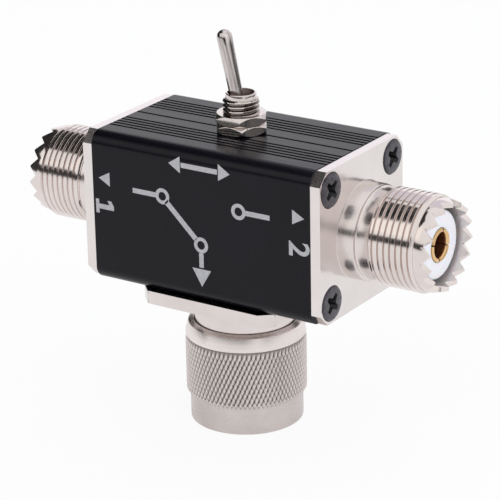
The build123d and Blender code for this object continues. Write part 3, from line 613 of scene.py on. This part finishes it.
def make_socket_shell(number, place):
    """The boss, neck, threaded barrel and toothed mouth of an antenna socket."""
    profile = [
        # The boss, with its foot in the flange plate
        (SHELL_HOLE, ANTENNA_PLATE - 0.05),
        (BOSS_RADIUS + 0.16, ANTENNA_PLATE - 0.05),
        (BOSS_RADIUS + 0.15, ANTENNA_PLATE + 0.05),
        (BOSS_RADIUS + 0.03, ANTENNA_PLATE + 0.11),
        (BOSS_RADIUS, ANTENNA_PLATE + 0.23),
        (BOSS_RADIUS, BOSS_END - 0.30),
        (BOSS_RADIUS - 0.06, BOSS_END - 0.11),
        (BOSS_RADIUS - 0.24, BOSS_END),
        # The neck
        (NECK_RADIUS + 0.15, BOSS_END + 0.01),
        (NECK_RADIUS + 0.09, BOSS_END + 0.09),
        (NECK_RADIUS + 0.03, BOSS_END + 0.17),
        (NECK_RADIUS, BOSS_END + 0.29),
        (NECK_RADIUS, THREAD_START - 0.15),
        # The core under the thread
        (NECK_RADIUS + 0.05, THREAD_START - 0.02),
        (NECK_RADIUS + 0.09, THREAD_START + 0.02),
        (NECK_RADIUS + 0.05, THREAD_START + 0.04),
        (NECK_RADIUS + 0.05, THREAD_END - 0.10),
        # The plain band and the crown
        (NECK_RADIUS + 0.13, THREAD_END),
        (NECK_RADIUS + 0.15, THREAD_END + 0.10),
        (NECK_RADIUS + 0.14, TEETH_ROOT - 0.10),
        (NECK_RADIUS + 0.11, TEETH_ROOT),
        (NECK_RADIUS + 0.11, SOCKET_LENGTH),
        # The bore and its floor
        (SOCKET_BORE, SOCKET_LENGTH),
        (SOCKET_BORE, TEETH_ROOT),
        (SOCKET_BORE, TEETH_ROOT - 0.12),
        (SOCKET_BORE, SHELL_FLOOR),
        (SHELL_HOLE, SHELL_FLOOR),
    ]
    bm = turned(profile, steps=160)
    wind_thread(
        bm, THREAD_RADIUS, THREAD_PITCH, THREAD_DEPTH, start=THREAD_START, end=THREAD_END + 0.05, steps=128
    )
    cut_teeth(bm)

    def finish_at(radius, height):
        # The bore gets the lighter nickel as painted light
        if radius < SOCKET_BORE + 0.15:
            return CROWN_PAINTED_LIGHT_NICKEL
        return BOSS_NICKEL if height < THREAD_START - 0.10 else TURNED_NICKEL

    finishes = [TURNED_NICKEL, CROWN_PAINTED_LIGHT_NICKEL, BOSS_NICKEL]
    pick_finishes(bm, finishes, finish_at)
    finish_piece(
        bm, f"antenna_{number}_shell", "switch_body", "nickel_plate", place, finishes, crease=32,
        node=f"antenna_{number}_socket_body",
    )


def make_contact(number, place):
    """The gold contact: a tube with a rolled lip, split into four fingers at its mouth."""
    fingers = bmesh.new()
    profile = [
        (CONTACT_BORE, SLOT_ROOT),
        (CONTACT_RADIUS, SLOT_ROOT),
        # The rolled lip
        (CONTACT_RADIUS, 15.55),
        (2.73, 15.72),
        (2.72, 15.90),
        (2.62, 16.03),
        (2.46, 16.08),
        (2.28, 16.04),
        (2.12, 15.92),
        (2.02, 15.72),
        (CONTACT_BORE, 15.45),
    ]
    line = draw_profile(fingers, profile)
    slot = math.radians(SLOT_TURN)
    start = math.radians(FIRST_SLOT) + slot / 2
    bmesh.ops.rotate(fingers, verts=verts_in(line), matrix=Matrix.Rotation(start, 3, "Z"))
    spin(fingers, line, math.tau / 4 - slot, steps=14)
    bmesh.ops.holes_fill(fingers, edges=fingers.edges[:], sides=0)
    double_up(fingers, (4, 2))

    def finish_at(radius, height):
        return GOLD_BORE if radius < CONTACT_BORE + 0.02 else FINISH["gold_plate"]

    finishes = [FINISH["gold_plate"], GOLD_BORE]
    pick_finishes(fingers, finishes, finish_at)
    contact = f"antenna_{number}_contact"
    finish_piece(fingers, f"{contact}_fingers", "switch_body", "gold_plate", place, finishes, node=contact)

    profile = [
        # The solder cup
        (0, CUP_FLOOR),
        (CUP_BORE, CUP_FLOOR),
        (CUP_BORE, CUP_END),
        (CUP_RADIUS, CUP_END),
        (CUP_RADIUS, CONTACT_SHOULDER),
        # The thin sleeve that backs the slots
        (CONTACT_RADIUS + 0.05, CONTACT_SHOULDER),
        (CONTACT_RADIUS + 0.05, SLEEVE_END),
        (CONTACT_RADIUS + 0.01, SLEEVE_END),
        (CONTACT_RADIUS + 0.01, SLOT_ROOT),
        # The bore below the slots
        (CONTACT_BORE, SLOT_ROOT),
        (CONTACT_BORE, CONTACT_FLOOR),
        (0, CONTACT_FLOOR),
    ]
    tube = turned(profile, steps=64, closed=False)
    finish_piece(tube, f"{contact}_tube", "switch_body", "gold_plate", place, [GOLD_BORE], node=contact)


# One arm of a screw's cross recess, from the corner that it shares with the arm before
CROSS_ARM = ((0.62, 0.62), (1.15, 0.46), (1.78, 0.36), (1.78, -0.36), (1.15, -0.46))
# Where the four screws stand, and how far from square each one stopped, in degrees
SCREW_STOPS = ((-1, -1, 4), (1, -1, -7), (1, 1, 6), (-1, 1, -3))


def make_screw(stop):
    """One countersunk screw with a flared cross recess. The plate's face is at height 0."""
    profile = [
        (0, -SCREW_LENGTH),
        (SCREW_RADIUS / 2, -SCREW_LENGTH),
        (SCREW_RADIUS, SCREW_RADIUS / 2 - SCREW_LENGTH),
        (SCREW_RADIUS, SCREW_RADIUS - HEAD_RADIUS - HEAD_SINK),
        (HEAD_RADIUS, -HEAD_SINK),
        (HEAD_RADIUS, HEAD_TOP - 0.13),
        (HEAD_RADIUS - 0.04, HEAD_TOP - 0.05),
        (HEAD_RADIUS - 0.18, HEAD_TOP),
    ]
    screw = turned(profile, steps=48, closed=False)
    rim = [edge for edge in screw.edges if edge.is_boundary]
    corners = []
    for quarter in range(4):
        turn = Matrix.Rotation(math.radians(45 - 90 * quarter + stop), 2)
        corners += [screw.verts.new((*(turn @ Vector(corner)), HEAD_TOP)) for corner in CROSS_ARM]
    cross = screw.faces.new(corners)
    bmesh.ops.recalc_face_normals(screw, faces=[cross])
    sunk = verts_in(bmesh.ops.extrude_face_region(screw, geom=[cross])["geom"])
    # The recess's walls and floor get the second finish, a blacker black as painted shade
    for wall in {wall for vert in sunk for wall in vert.link_faces}:
        wall.material_index = 1
    bmesh.ops.scale(screw, vec=(RECESS_TAPER, RECESS_TAPER, 1), verts=sunk)
    bmesh.ops.translate(screw, vec=(0, 0, -RECESS_DEPTH), verts=sunk)
    recess = cross.edges[:]
    screw.faces.remove(cross)
    bmesh.ops.triangle_fill(screw, edges=rim + recess, use_beauty=True, normal=(0, 0, 1))
    return screw


def make_screws(node, place, plate):
    """The four screws of a flange plate, as one piece."""
    bm = bmesh.new()
    for x, y, stop in SCREW_STOPS:
        screw = make_screw(stop)
        bmesh.ops.translate(screw, vec=(x * SCREW_REACH, y * SCREW_REACH, plate), verts=screw.verts)
        copy = bpy.data.meshes.new(node)
        screw.to_mesh(copy)
        screw.free()
        bm.from_mesh(copy)
        bpy.data.meshes.remove(copy)
    finishes = [FINISH["black_screws"], RECESS_PAINTED_SHADE_BLACK]
    screws = finish_piece(
        bm, f"{node}_turned", "switch_body", "black_screws", place, finishes, crease=35, node=node
    )
    soften(screws, SCREW_EDGE)


def make_socket(number, side):
    """An antenna socket: its flange plate, shell, insulator, contact and screws."""
    plate_face = (side * (HOUSING_HALF + ANTENNA_PLATE + 0.01), 0, AXIS_Z)
    dressed_copy(
        f"antenna_{number}_socket_body", "switch_body", "nickel_plate", PLATE_EDGE,
        name=f"antenna_{number}_flange", cut=(plate_face, (side, 0, 0)),
    )
    place = socket_frame(side)
    make_socket_shell(number, place)
    dressed_copy(f"antenna_{number}_insulator", "switch_body", "white_ptfe", edge=0.08)
    make_contact(number, place)
    make_screws(f"antenna_{number}_screws", place, ANTENNA_PLATE)


# ------------------------------------------------------------------ plug and coupling nut
def make_plug():
    dressed_copy("plug_body", "switch_body", "nickel_plate", PLATE_EDGE, finishes=[UPRIGHT_NICKEL])
    make_screws("plug_screws", PLUG_FRAME, PLUG_PLATE)
    dressed_copy("plug_insulator", "switch_body", "white_ptfe", edge=0.08)
    dressed_copy("plug_pin", "switch_body", "silver_plate", edge=0.04)


def turns_back(groove):
    """Whether a groove of the knurl goes clockwise on its way up."""
    low, high = sorted((vert.co for vert in groove.verts), key=lambda place: place.z)
    return low.x * high.y - low.y * high.x < 0


def cut_knurl(bm):
    """Joins every other vertex of the sleeve's rows into crossed grooves, and blunts the diamonds."""
    crossings = []
    for vert in bm.verts:
        row = round((vert.co.z - KNURL_START) / KNURL_ROW)
        column = round(KNURL_COLUMNS * math.atan2(vert.co.y, vert.co.x) / math.tau)
        outside = off_axis(vert.co) > BAND_RADIUS - 0.01
        on_row = 0 <= row <= KNURL_ROWS and abs(vert.co.z - KNURL_START - KNURL_ROW * row) < 0.01
        if not (outside and on_row) or (column + row) % 2:
            continue
        crossings.append(vert)
        if 0 < row < KNURL_ROWS:
            to_radius(vert, KNURL_FLOOR)
    grooves = bmesh.ops.connect_verts(bm, verts=crossings)["edges"]

    # The grooves are shallower between their crossings, and more so in one direction
    backward = [groove for groove in grooves if turns_back(groove)]
    forward = [groove for groove in grooves if not turns_back(groove)]
    for edges, rise in ((backward, 0.20), (forward, 0.10)):
        for vert in verts_in(bmesh.ops.subdivide_edges(bm, edges=edges, cuts=1)["geom_inner"]):
            if vert.co.z > KNURL_START + KNURL_ROW:
                to_radius(vert, KNURL_FLOOR + rise)

    peaks = [
        vert
        for vert in bm.verts
        if off_axis(vert.co) > KNURL_CREST - 0.01 and KNURL_START < vert.co.z < KNURL_END
    ]
    bmesh.ops.bevel(bm, geom=peaks, offset=0.10, segments=1, profile=0.5, affect="VERTICES", material=-1)


def make_nut_sleeve():
    """The outside of the coupling nut: a plain band, the diamond knurl and a sloping ring on top."""
    profile = [
        # The rim and the plain band
        (NUT_BORE, 0.0),
        (BAND_RADIUS - 0.12, 0.0),
        (BAND_RADIUS - 0.02, 0.06),
        (BAND_RADIUS, 0.18),
        (BAND_RADIUS, KNURL_START - 0.12),
        (BAND_RADIUS, KNURL_START),
    ]
    profile += [(KNURL_CREST, KNURL_START + KNURL_ROW * row) for row in range(1, KNURL_ROWS)]
    profile += [
        # The groove above the knurl, and the ring
        (RING_GROOVE, KNURL_END),
        (RING_GROOVE, KNURL_END + 0.14),
        (RING_RADIUS - 0.05, KNURL_END + 0.20),
        (RING_RADIUS, KNURL_END + 0.27),
        (RING_RADIUS, KNURL_END + 0.45),
        (RING_RADIUS - 0.08, NUT_LENGTH - 2.0),
        (RING_RADIUS - 0.45, NUT_LENGTH - 0.70),
        # The top's two bevels, and the bore
        (BAND_RADIUS + 0.08, NUT_LENGTH - 0.50),
        (BAND_RADIUS - 0.03, NUT_LENGTH - 0.44),
        (NUT_BORE + 0.22, NUT_LENGTH - 0.03),
        (NUT_BORE + 0.12, NUT_LENGTH),
        (NUT_BORE + 0.02, NUT_LENGTH - 0.05),
        (NUT_BORE, NUT_LENGTH - 0.20),
    ]
    bm = turned(profile, steps=KNURL_COLUMNS)
    cut_knurl(bm)

    def finish_at(radius, height):
        if radius < BAND_RADIUS - 0.05 or height < KNURL_START + KNURL_ROW:
            return FINISH["knurled_nickel"]
        # The ring gets a lighter nickel as painted light, and the knurl gets nickel with painted shade in its
        # grooves
        return RING_PAINTED_LIGHT_NICKEL if height > KNURL_END + 0.20 else KNURL_PAINTED_SHADE_NICKEL

    finishes = [FINISH["knurled_nickel"], KNURL_PAINTED_SHADE_NICKEL, RING_PAINTED_LIGHT_NICKEL]
    pick_finishes(bm, finishes, finish_at)
    finish_piece(
        bm, "coupling_nut_sleeve", "nut", "knurled_nickel", finishes=finishes, crease=28, node="coupling_nut"
    )


def make_nut_liner():
    """The inside of the coupling nut: its thread, and the plain bore above the thread."""
    profile = [
        (LINER_RADIUS, LINER_START),
        (LINER_RADIUS, LINER_END),
        (LINER_BORE, LINER_END),
        (LINER_BORE, NUT_THREAD_END + 0.05),
        (NUT_THREAD_CORE, NUT_THREAD_END - 0.05),
        (NUT_THREAD_CORE, NUT_THREAD_START + 0.05),
        (NUT_THREAD_CORE + 0.07, LINER_START),
    ]
    bm = turned(profile, steps=128)
    wind_thread(
        bm, NUT_THREAD_RADIUS, THREAD_PITCH, -NUT_THREAD_DEPTH,
        start=NUT_THREAD_START, end=NUT_THREAD_END, steps=96,
    )
    finish_piece(bm, "coupling_nut_thread", "nut", "knurled_nickel", crease=44, node="coupling_nut")


# ------------------------------------------------------------------ toggle
def make_bushing():
    """The foot of the bushing from its solid, the threaded collar above the foot, and the two nuts."""
    dressed_copy(
        "switch_bushing", "switch_body", "bright_nickel", edge=0.04, name="switch_bushing_foot",
        cut=((0, 0, PIVOT_Z + BUSHING_SPLIT), (0, 0, 1)),
    )
    profile = [
        # The plain collar
        (BUSHING_MOUTH, BUSHING_TOP - 0.06),
        (BUSHING_MOUTH + 0.04, BUSHING_TOP),
        (COLLAR_RADIUS - 0.12, BUSHING_TOP),
        (COLLAR_RADIUS - 0.04, BUSHING_TOP - 0.06),
        (COLLAR_RADIUS, BUSHING_TOP - 0.16),
        (COLLAR_RADIUS, BUSHING_THREAD_END - 0.10),
        # The core under the thread
        (BUSHING_CORE, BUSHING_THREAD_END - 0.16),
        (BUSHING_CORE, BUSHING_SPLIT),
        # The seat of the lever's ball, from which the bore widens to the mouth
        (1.93, BUSHING_SPLIT),
        (1.80, 0.8),
        (1.50, 1.28),
    ]
    bm = turned(profile, steps=96)
    wind_thread(
        bm, BUSHING_THREAD_RADIUS, BUSHING_THREAD_PITCH, BUSHING_THREAD_DEPTH,
        start=BUSHING_SPLIT + 0.10, end=BUSHING_THREAD_END, steps=96, half_form=SHARP_CRESTED, cover=0.15,
    )

    def finish_at(radius, height):
        if height < BUSHING_SPLIT + 0.02:
            return FINISH["bright_nickel"]
        # The bore gets the dark nickel as painted shade
        if radius < BUSHING_MOUTH + 0.02:
            return BORE_PAINTED_SHADE_NICKEL
        # The thread's grooves get the dark nickel as painted shade
        by_thread = height < BUSHING_THREAD_END - 0.10
        in_groove = COLLAR_RADIUS + 0.02 < radius < BUSHING_CORE + 0.18
        return GROOVE_PAINTED_SHADE_NICKEL if by_thread and in_groove else FINISH["bright_nickel"]

    finishes = [FINISH["bright_nickel"], BORE_PAINTED_SHADE_NICKEL, GROOVE_PAINTED_SHADE_NICKEL]
    pick_finishes(bm, finishes, finish_at)
    finish_piece(
        bm, "switch_bushing_thread", "switch_body", "bright_nickel", BUSHING_FRAME, finishes,
        node="switch_bushing",
    )
    for place in ("lower", "upper"):
        dressed_copy(f"{place}_hex_nut", "switch_body", "bright_nickel", edge=0.06, crease=20)


def make_lever():
    """The lever: the ball of its solid, and a tapered shank with a rounded tip above it."""
    axis = LEVER_FRAME.to_3x3() @ Vector((0, 0, 1))
    dressed_copy(
        "toggle_lever", "lever", "bright_nickel", edge=0.03, name="toggle_lever_ball",
        finishes=[LEVER_PAINTED_REFLECTION_NICKEL], cut=(Vector((0, 0, PIVOT_Z)) + LEVER_SPLIT * axis, axis),
    )
    straight = LEVER_LENGTH - LEVER_TIP_RADIUS
    taper = (LEVER_TIP_RADIUS - LEVER_ROOT_RADIUS) / straight
    heights = [LEVER_SPLIT + (straight - LEVER_SPLIT) * count / 8 for count in range(9)]
    profile = [(0.0, LEVER_SPLIT)]
    profile += [(LEVER_ROOT_RADIUS + taper * height, height) for height in heights]
    for angle in map(math.radians, range(10, 90, 10)):
        profile.append((LEVER_TIP_RADIUS * math.cos(angle), straight + LEVER_TIP_RADIUS * math.sin(angle)))
    profile.append((0.0, LEVER_LENGTH))
    bm = turned(profile, steps=64, closed=False)
    finish_piece(
        bm, "toggle_lever_turned", "lever", "bright_nickel", LEVER_FRAME, [LEVER_PAINTED_REFLECTION_NICKEL], crease=50,
        node="toggle_lever",
    )


# ------------------------------------------------------------------ marks on the front
def bar(x0, z0, x1, z1, width=STROKE):
    """The corners of a straight stroke between two points of the front."""
    along = Vector((x1 - x0, z1 - z0)).normalized() * width / 2
    side = Vector((-along.y, along.x))
    return [
        (x0 - along.x + side.x, z0 - along.y + side.y),
        (x0 - along.x - side.x, z0 - along.y - side.y),
        (x1 + along.x - side.x, z1 + along.y - side.y),
        (x1 + along.x + side.x, z1 + along.y + side.y),
    ]


def arrowhead(x, z, along, half_width):
    """The corners of an arrowhead, from the middle of its base, the way to its tip, and half its base."""
    side = Vector((-along[1], along[0])).normalized() * half_width
    return [(x + side.x, z + side.y), (x - side.x, z - side.y), (x + along[0], z + along[1])]


def print_piece(bm, name):
    """Raises flat marks by the thickness of the ink and lays them on the front."""
    raised = bmesh.ops.extrude_face_region(bm, geom=bm.faces[:])["geom"]
    bmesh.ops.translate(bm, vec=(0, INK, 0), verts=verts_in(raised))
    place = Matrix.Translation((0, -HALF_SIDE, AXIS_Z))
    finish_piece(bm, name, "switch_body", "white_ptfe", place, [PRINT_INK])


def print_circuit():
    """The two-way circuit, an arrow to each side for the toggle, and an arrowhead to each connector."""
    outlines = [
        bar(-8.75, 4.2, -12.4, 4.2),
        bar(9.35, 4.2, 13.0, 4.2),
        bar(-0.95, -1.65, -5.95, 3.1, width=BLADE_STROKE),
        bar(0.3, -4.6, 0.3, -6.2),
        arrowhead(0.3, -6.9, (0, -3.0), half_width=1.8),
        bar(-2.8, 10.1, 3.3, 10.1),
        arrowhead(-3.4, 10.1, (-2.2, 0), half_width=1.4),
        arrowhead(3.9, 10.1, (2.2, 0), half_width=1.4),
        arrowhead(-17.4, 5.2, (-2.2, 0), half_width=1.2),
        arrowhead(17.6, 5.2, (2.2, 0), half_width=1.2),
    ]
    marks = bmesh.new()
    for outline in outlines:
        marks.faces.new([marks.verts.new((x, 0, z)) for x, z in outline])
    for x, z in ((-7.0, 4.2), (7.6, 4.2), (0.3, -2.8)):
        dot = bmesh.ops.create_circle(marks, radius=DOT_RADIUS, segments=40, cap_ends=True)["verts"]
        bmesh.ops.rotate(marks, verts=dot, matrix=Matrix.Rotation(math.pi / 2, 3, "X"))
        bmesh.ops.translate(marks, verts=dot, vec=(x, 0, z))
        cap = list({face for vert in dot for face in vert.link_faces})
        bmesh.ops.inset_region(marks, faces=cap, thickness=DOT_WALL, use_boundary=True)
        bmesh.ops.delete(marks, geom=cap, context="FACES_ONLY")
    print_piece(marks, "front_marks")


def print_digit(bm, name, x, z):
    """Lays a digit on the front, turned to read from the right, and prints it."""
    bmesh.ops.rotate(bm, verts=bm.verts, matrix=Matrix.Rotation(-math.pi / 2, 3, "Z"))
    bmesh.ops.rotate(bm, verts=bm.verts, matrix=Matrix.Rotation(math.pi / 2, 3, "X"))
    bmesh.ops.translate(bm, verts=bm.verts, vec=(x, 0, z))
    print_piece(bm, name)


def print_one():
    """The number at the left socket, with a foot and a slanting flag."""
    one = bmesh.new()
    foot = [(-1.2, -1.8), (1.2, -1.8), (1.2, -1.15), (0.42, -1.15)]
    flag = [(0.42, 1.8), (-0.3, 1.8), (-1.15, 1.3), (-1.15, 0.55), (-0.42, 0.88)]
    outline = foot + flag + [(-0.42, -1.15), (-1.2, -1.15)]
    one.faces.new([one.verts.new((x, y, 0)) for x, y in outline])
    print_digit(one, "number_1", -18.55, 0.3)


def print_two():
    """The number at the right socket, from a plain letter shape made a little bolder."""
    curve = bpy.data.curves.new("number_2", "FONT")
    curve.body = "2"
    curve.size = DIGIT_SIZE
    curve.align_x = "CENTER"
    curve.align_y = "CENTER"
    curve.offset = 0.10
    letter = add_object("number_2_outline", curve)
    two = bmesh.new()
    two.from_mesh(bpy.data.meshes.new_from_object(letter))
    bpy.data.objects.remove(letter)
    print_digit(two, "number_2", 18.6, 0.0)


# ------------------------------------------------------------------ the whole switch
make_housing()
for number, side in ((1, -1), (2, 1)):
    make_socket(number, side)
make_plug()
make_nut_sleeve()
make_nut_liner()
make_bushing()
make_lever()
print_circuit()
print_one()
print_two()

slots = {entry["node"]: entry["material_slot"] for entry in frame["record"]["subparts"]}
for node, solid in frame["nodes"].items():
    solid.data.materials.clear()
    solid.data.materials.append(FINISH[slots[node]])

# ------------------------------------------------------------------ studio, in metres
MIDDLE = Vector((0, 0, 0.037))


def toward(azimuth, elevation):
    """A direction: azimuth from the left (-X) round towards the front (-Y), and elevation, in degrees."""
    a, e = math.radians(azimuth), math.radians(elevation)
    return Vector((-math.cos(e) * math.cos(a), -math.cos(e) * math.sin(a), math.sin(e)))


def glow(tree, kind, strength, colour=(1, 1, 1)):
    """A shader that gives off light, of the kind for a surface or of that for the world."""
    node = tree.nodes.new(kind)
    node.inputs["Color"].default_value = (*colour, 1)
    node.inputs["Strength"].default_value = strength
    return node.outputs[0]


def combined(tree, operation, first, second):
    """Works out one value from a value and a second value or number."""
    node = tree.nodes.new("ShaderNodeMath")
    node.operation = operation
    tree.links.new(first, node.inputs[0])
    if isinstance(second, float):
        node.inputs[1].default_value = second
    else:
        tree.links.new(second, node.inputs[1])
    return node.outputs[0]


def mixed(tree, share, below, above):
    """Lays one shader over another by a share."""
    node = tree.nodes.new("ShaderNodeMixShader")
    for value, socket in zip((share, below, above), node.inputs):
        tree.links.new(value, socket)
    return node.outputs[0]


def seen_white(tree, base, white, to_camera, to_gloss):
    """Mixes a plain white into a surface or world where the camera, gloss or glass looks at it."""
    path = tree.nodes.new("ShaderNodeLightPath")
    seen = combined(tree, "MULTIPLY", path.outputs["Is Camera Ray"], to_camera)
    for ray in ("Is Glossy Ray", "Is Transmission Ray"):
        part = combined(tree, "MULTIPLY", path.outputs[ray], to_gloss)
        seen = combined(tree, "MAXIMUM", seen, part)
    return mixed(tree, seen, base, white)


def add_stage(bm, name, material):
    """Turns a bmesh into a sheet of the stage, which isn't part of the object."""
    mesh = bpy.data.meshes.new(name)
    bm.to_mesh(mesh)
    bm.free()
    mesh.materials.append(material)
    sheet = add_object(name, mesh)
    return sheet


def make_floor():
    material = bpy.data.materials.new("pale_floor")
    tree, surface = emptied_tree(material, "ShaderNodeOutputMaterial")
    matt = tree.nodes.new("ShaderNodeBsdfDiffuse")
    matt.inputs["Color"].default_value = (0.94, 0.94, 0.94, 1)
    white = glow(tree, "ShaderNodeEmission", strength=1.0)
    tree.links.new(seen_white(tree, matt.outputs[0], white, to_camera=0.9, to_gloss=0.6), surface)
    bm = bmesh.new()
    bmesh.ops.create_grid(bm, x_segments=1, y_segments=1, size=3.0)
    add_stage(bm, "floor", material)


def make_world():
    world = bpy.data.worlds.new("studio")
    bpy.context.scene.world = world
    tree, surface = emptied_tree(world, "ShaderNodeOutputWorld")
    soft = glow(tree, "ShaderNodeBackground", strength=0.8, colour=(0.96, 0.97, 1.0))
    white = glow(tree, "ShaderNodeBackground", strength=1.0)
    tree.links.new(seen_white(tree, soft, white, to_camera=1.0, to_gloss=1.0), surface)


def area_light(name, direction, distance, size, power, colour=(1, 1, 1)):
    """A round lamp that looks at the object and doesn't show in its reflections."""
    data = bpy.data.lights.new(name, "AREA")
    data.shape = "DISK"
    data.size = size
    data.energy = power
    data.color = colour
    lamp = add_object(name, data)
    lamp.location = MIDDLE + distance * direction
    lamp.rotation_euler = (MIDDLE - lamp.location).to_track_quat("-Z", "Y").to_euler()
    lamp.visible_glossy = False


def card_material(name, level, depth, soft, colour):
    """A glow of one level that covers by its depth and fades out along its edges."""
    material = bpy.data.materials.new(name)
    tree, surface = emptied_tree(material, "ShaderNodeOutputMaterial")
    light = glow(tree, "ShaderNodeEmission", level, colour)
    clear = tree.nodes.new("ShaderNodeBsdfTransparent").outputs[0]
    sheet = tree.nodes.new("ShaderNodeTexCoord")
    parts = tree.nodes.new("ShaderNodeSeparateXYZ")
    tree.links.new(sheet.outputs["UV"], parts.inputs["Vector"])
    fade = ((0.0, 0.0), (soft, 1.0), (1.0 - soft, 1.0), (1.0, 0.0))
    across, up = (ramp(tree, parts.outputs[part], fade) for part in ("X", "Y"))
    cover = combined(tree, "MULTIPLY", combined(tree, "MULTIPLY", across, up), depth)
    tree.links.new(mixed(tree, cover, clear, light), surface)
    return material


def card(name, azimuths, elevations, level, depth=1.0, soft=0.12, radius=0.7, colour=(1, 1, 1)):
    """A curved card with soft edges, black at level 0, which only shows in the metal's reflections."""
    bm = bmesh.new()
    bm.loops.layers.uv.new("sheet")
    bmesh.ops.create_grid(bm, x_segments=24, y_segments=24, size=0.5, calc_uvs=True)
    for vert in bm.verts:
        azimuth = azimuths[0] + (vert.co.x + 0.5) * (azimuths[1] - azimuths[0])
        elevation = elevations[0] + (vert.co.y + 0.5) * (elevations[1] - elevations[0])
        vert.co = MIDDLE + radius * toward(azimuth, elevation)
    sheet = add_stage(bm, name, card_material(name, level, depth, soft, colour))
    sheet.visible_camera = False
    sheet.visible_diffuse = False
    sheet.visible_shadow = False
    sheet.visible_transmission = False


make_floor()
make_world()
area_light("key", toward(55, 30), 0.9, size=0.4, power=1.0, colour=(1.0, 0.98, 0.95))
area_light("top", toward(-100, 70), 1.0, size=1.0, power=0.9)
area_light("fill_right", toward(165, 22), 0.9, size=0.6, power=1.8)
card("dark_left", (-42, 27), (-2, 58.5), 0.03, soft=0.04)
card("dark_top", (-25, 30), (56, 68), 0.03, soft=0.06, radius=0.72)
card("dark_corner", (24, 49), (45, 68), 0.02, soft=0.05, radius=0.75)
card("dark_low_left", (24, 44), (-2, 30), 0.03, soft=0.05, radius=0.75)
card("dark_horizon", (0, 150), (1.2, 18), 0.04, soft=0.2, radius=0.2)
card("grey_back", (-110, -42), (24, 62), 0.8, 0.95, soft=0.06, radius=0.9, colour=(0.98, 0.95, 1.06))
card("pale_back", (-90, -40), (6, 28), 1.14, 0.95, soft=0.1, radius=0.95, colour=(0.99, 0.97, 1.02))
card("warm_window", (43, 76), (17, 56), 1.2, 0.9, soft=0.2, radius=1.0, colour=(1.0, 0.97, 0.92))
card("grey_right", (146, 184), (-3, 15), 0.3, 0.8, soft=0.3, radius=0.17)
card("dark_right", (176, 218), (2, 15), 0.08, 0.94, soft=0.1, radius=0.16)
card("dark_far_right", (214, 252), (-2, 11), 0.10, 0.94, soft=0.1, radius=0.15)
card("camera_opening", (121, 131), (15, 25), 0.05, 0.9, soft=0.2, radius=0.6)

# ------------------------------------------------------------------ camera
# Its lens, place and axes were fitted to the corners of the housing and flanges and to the nut
camera_data = bpy.data.cameras.new("camera")
camera_data.lens = 175.46
camera_data.sensor_width = 36.0
camera_data.clip_start = 0.02
camera = add_object("camera", camera_data)
right = Vector((0.83617, 0.54815, -0.01887))
up = Vector((-0.17941, 0.30586, 0.93503))
back = Vector((0.51831, -0.77846, 0.35409))
turn = Matrix((right, up, back)).transposed().to_4x4()
camera.matrix_world = Matrix.Translation((0.208389, -0.311266, 0.170867)) @ turn
bpy.context.scene.camera = camera
bpy.context.scene.view_settings.view_transform = "Standard"
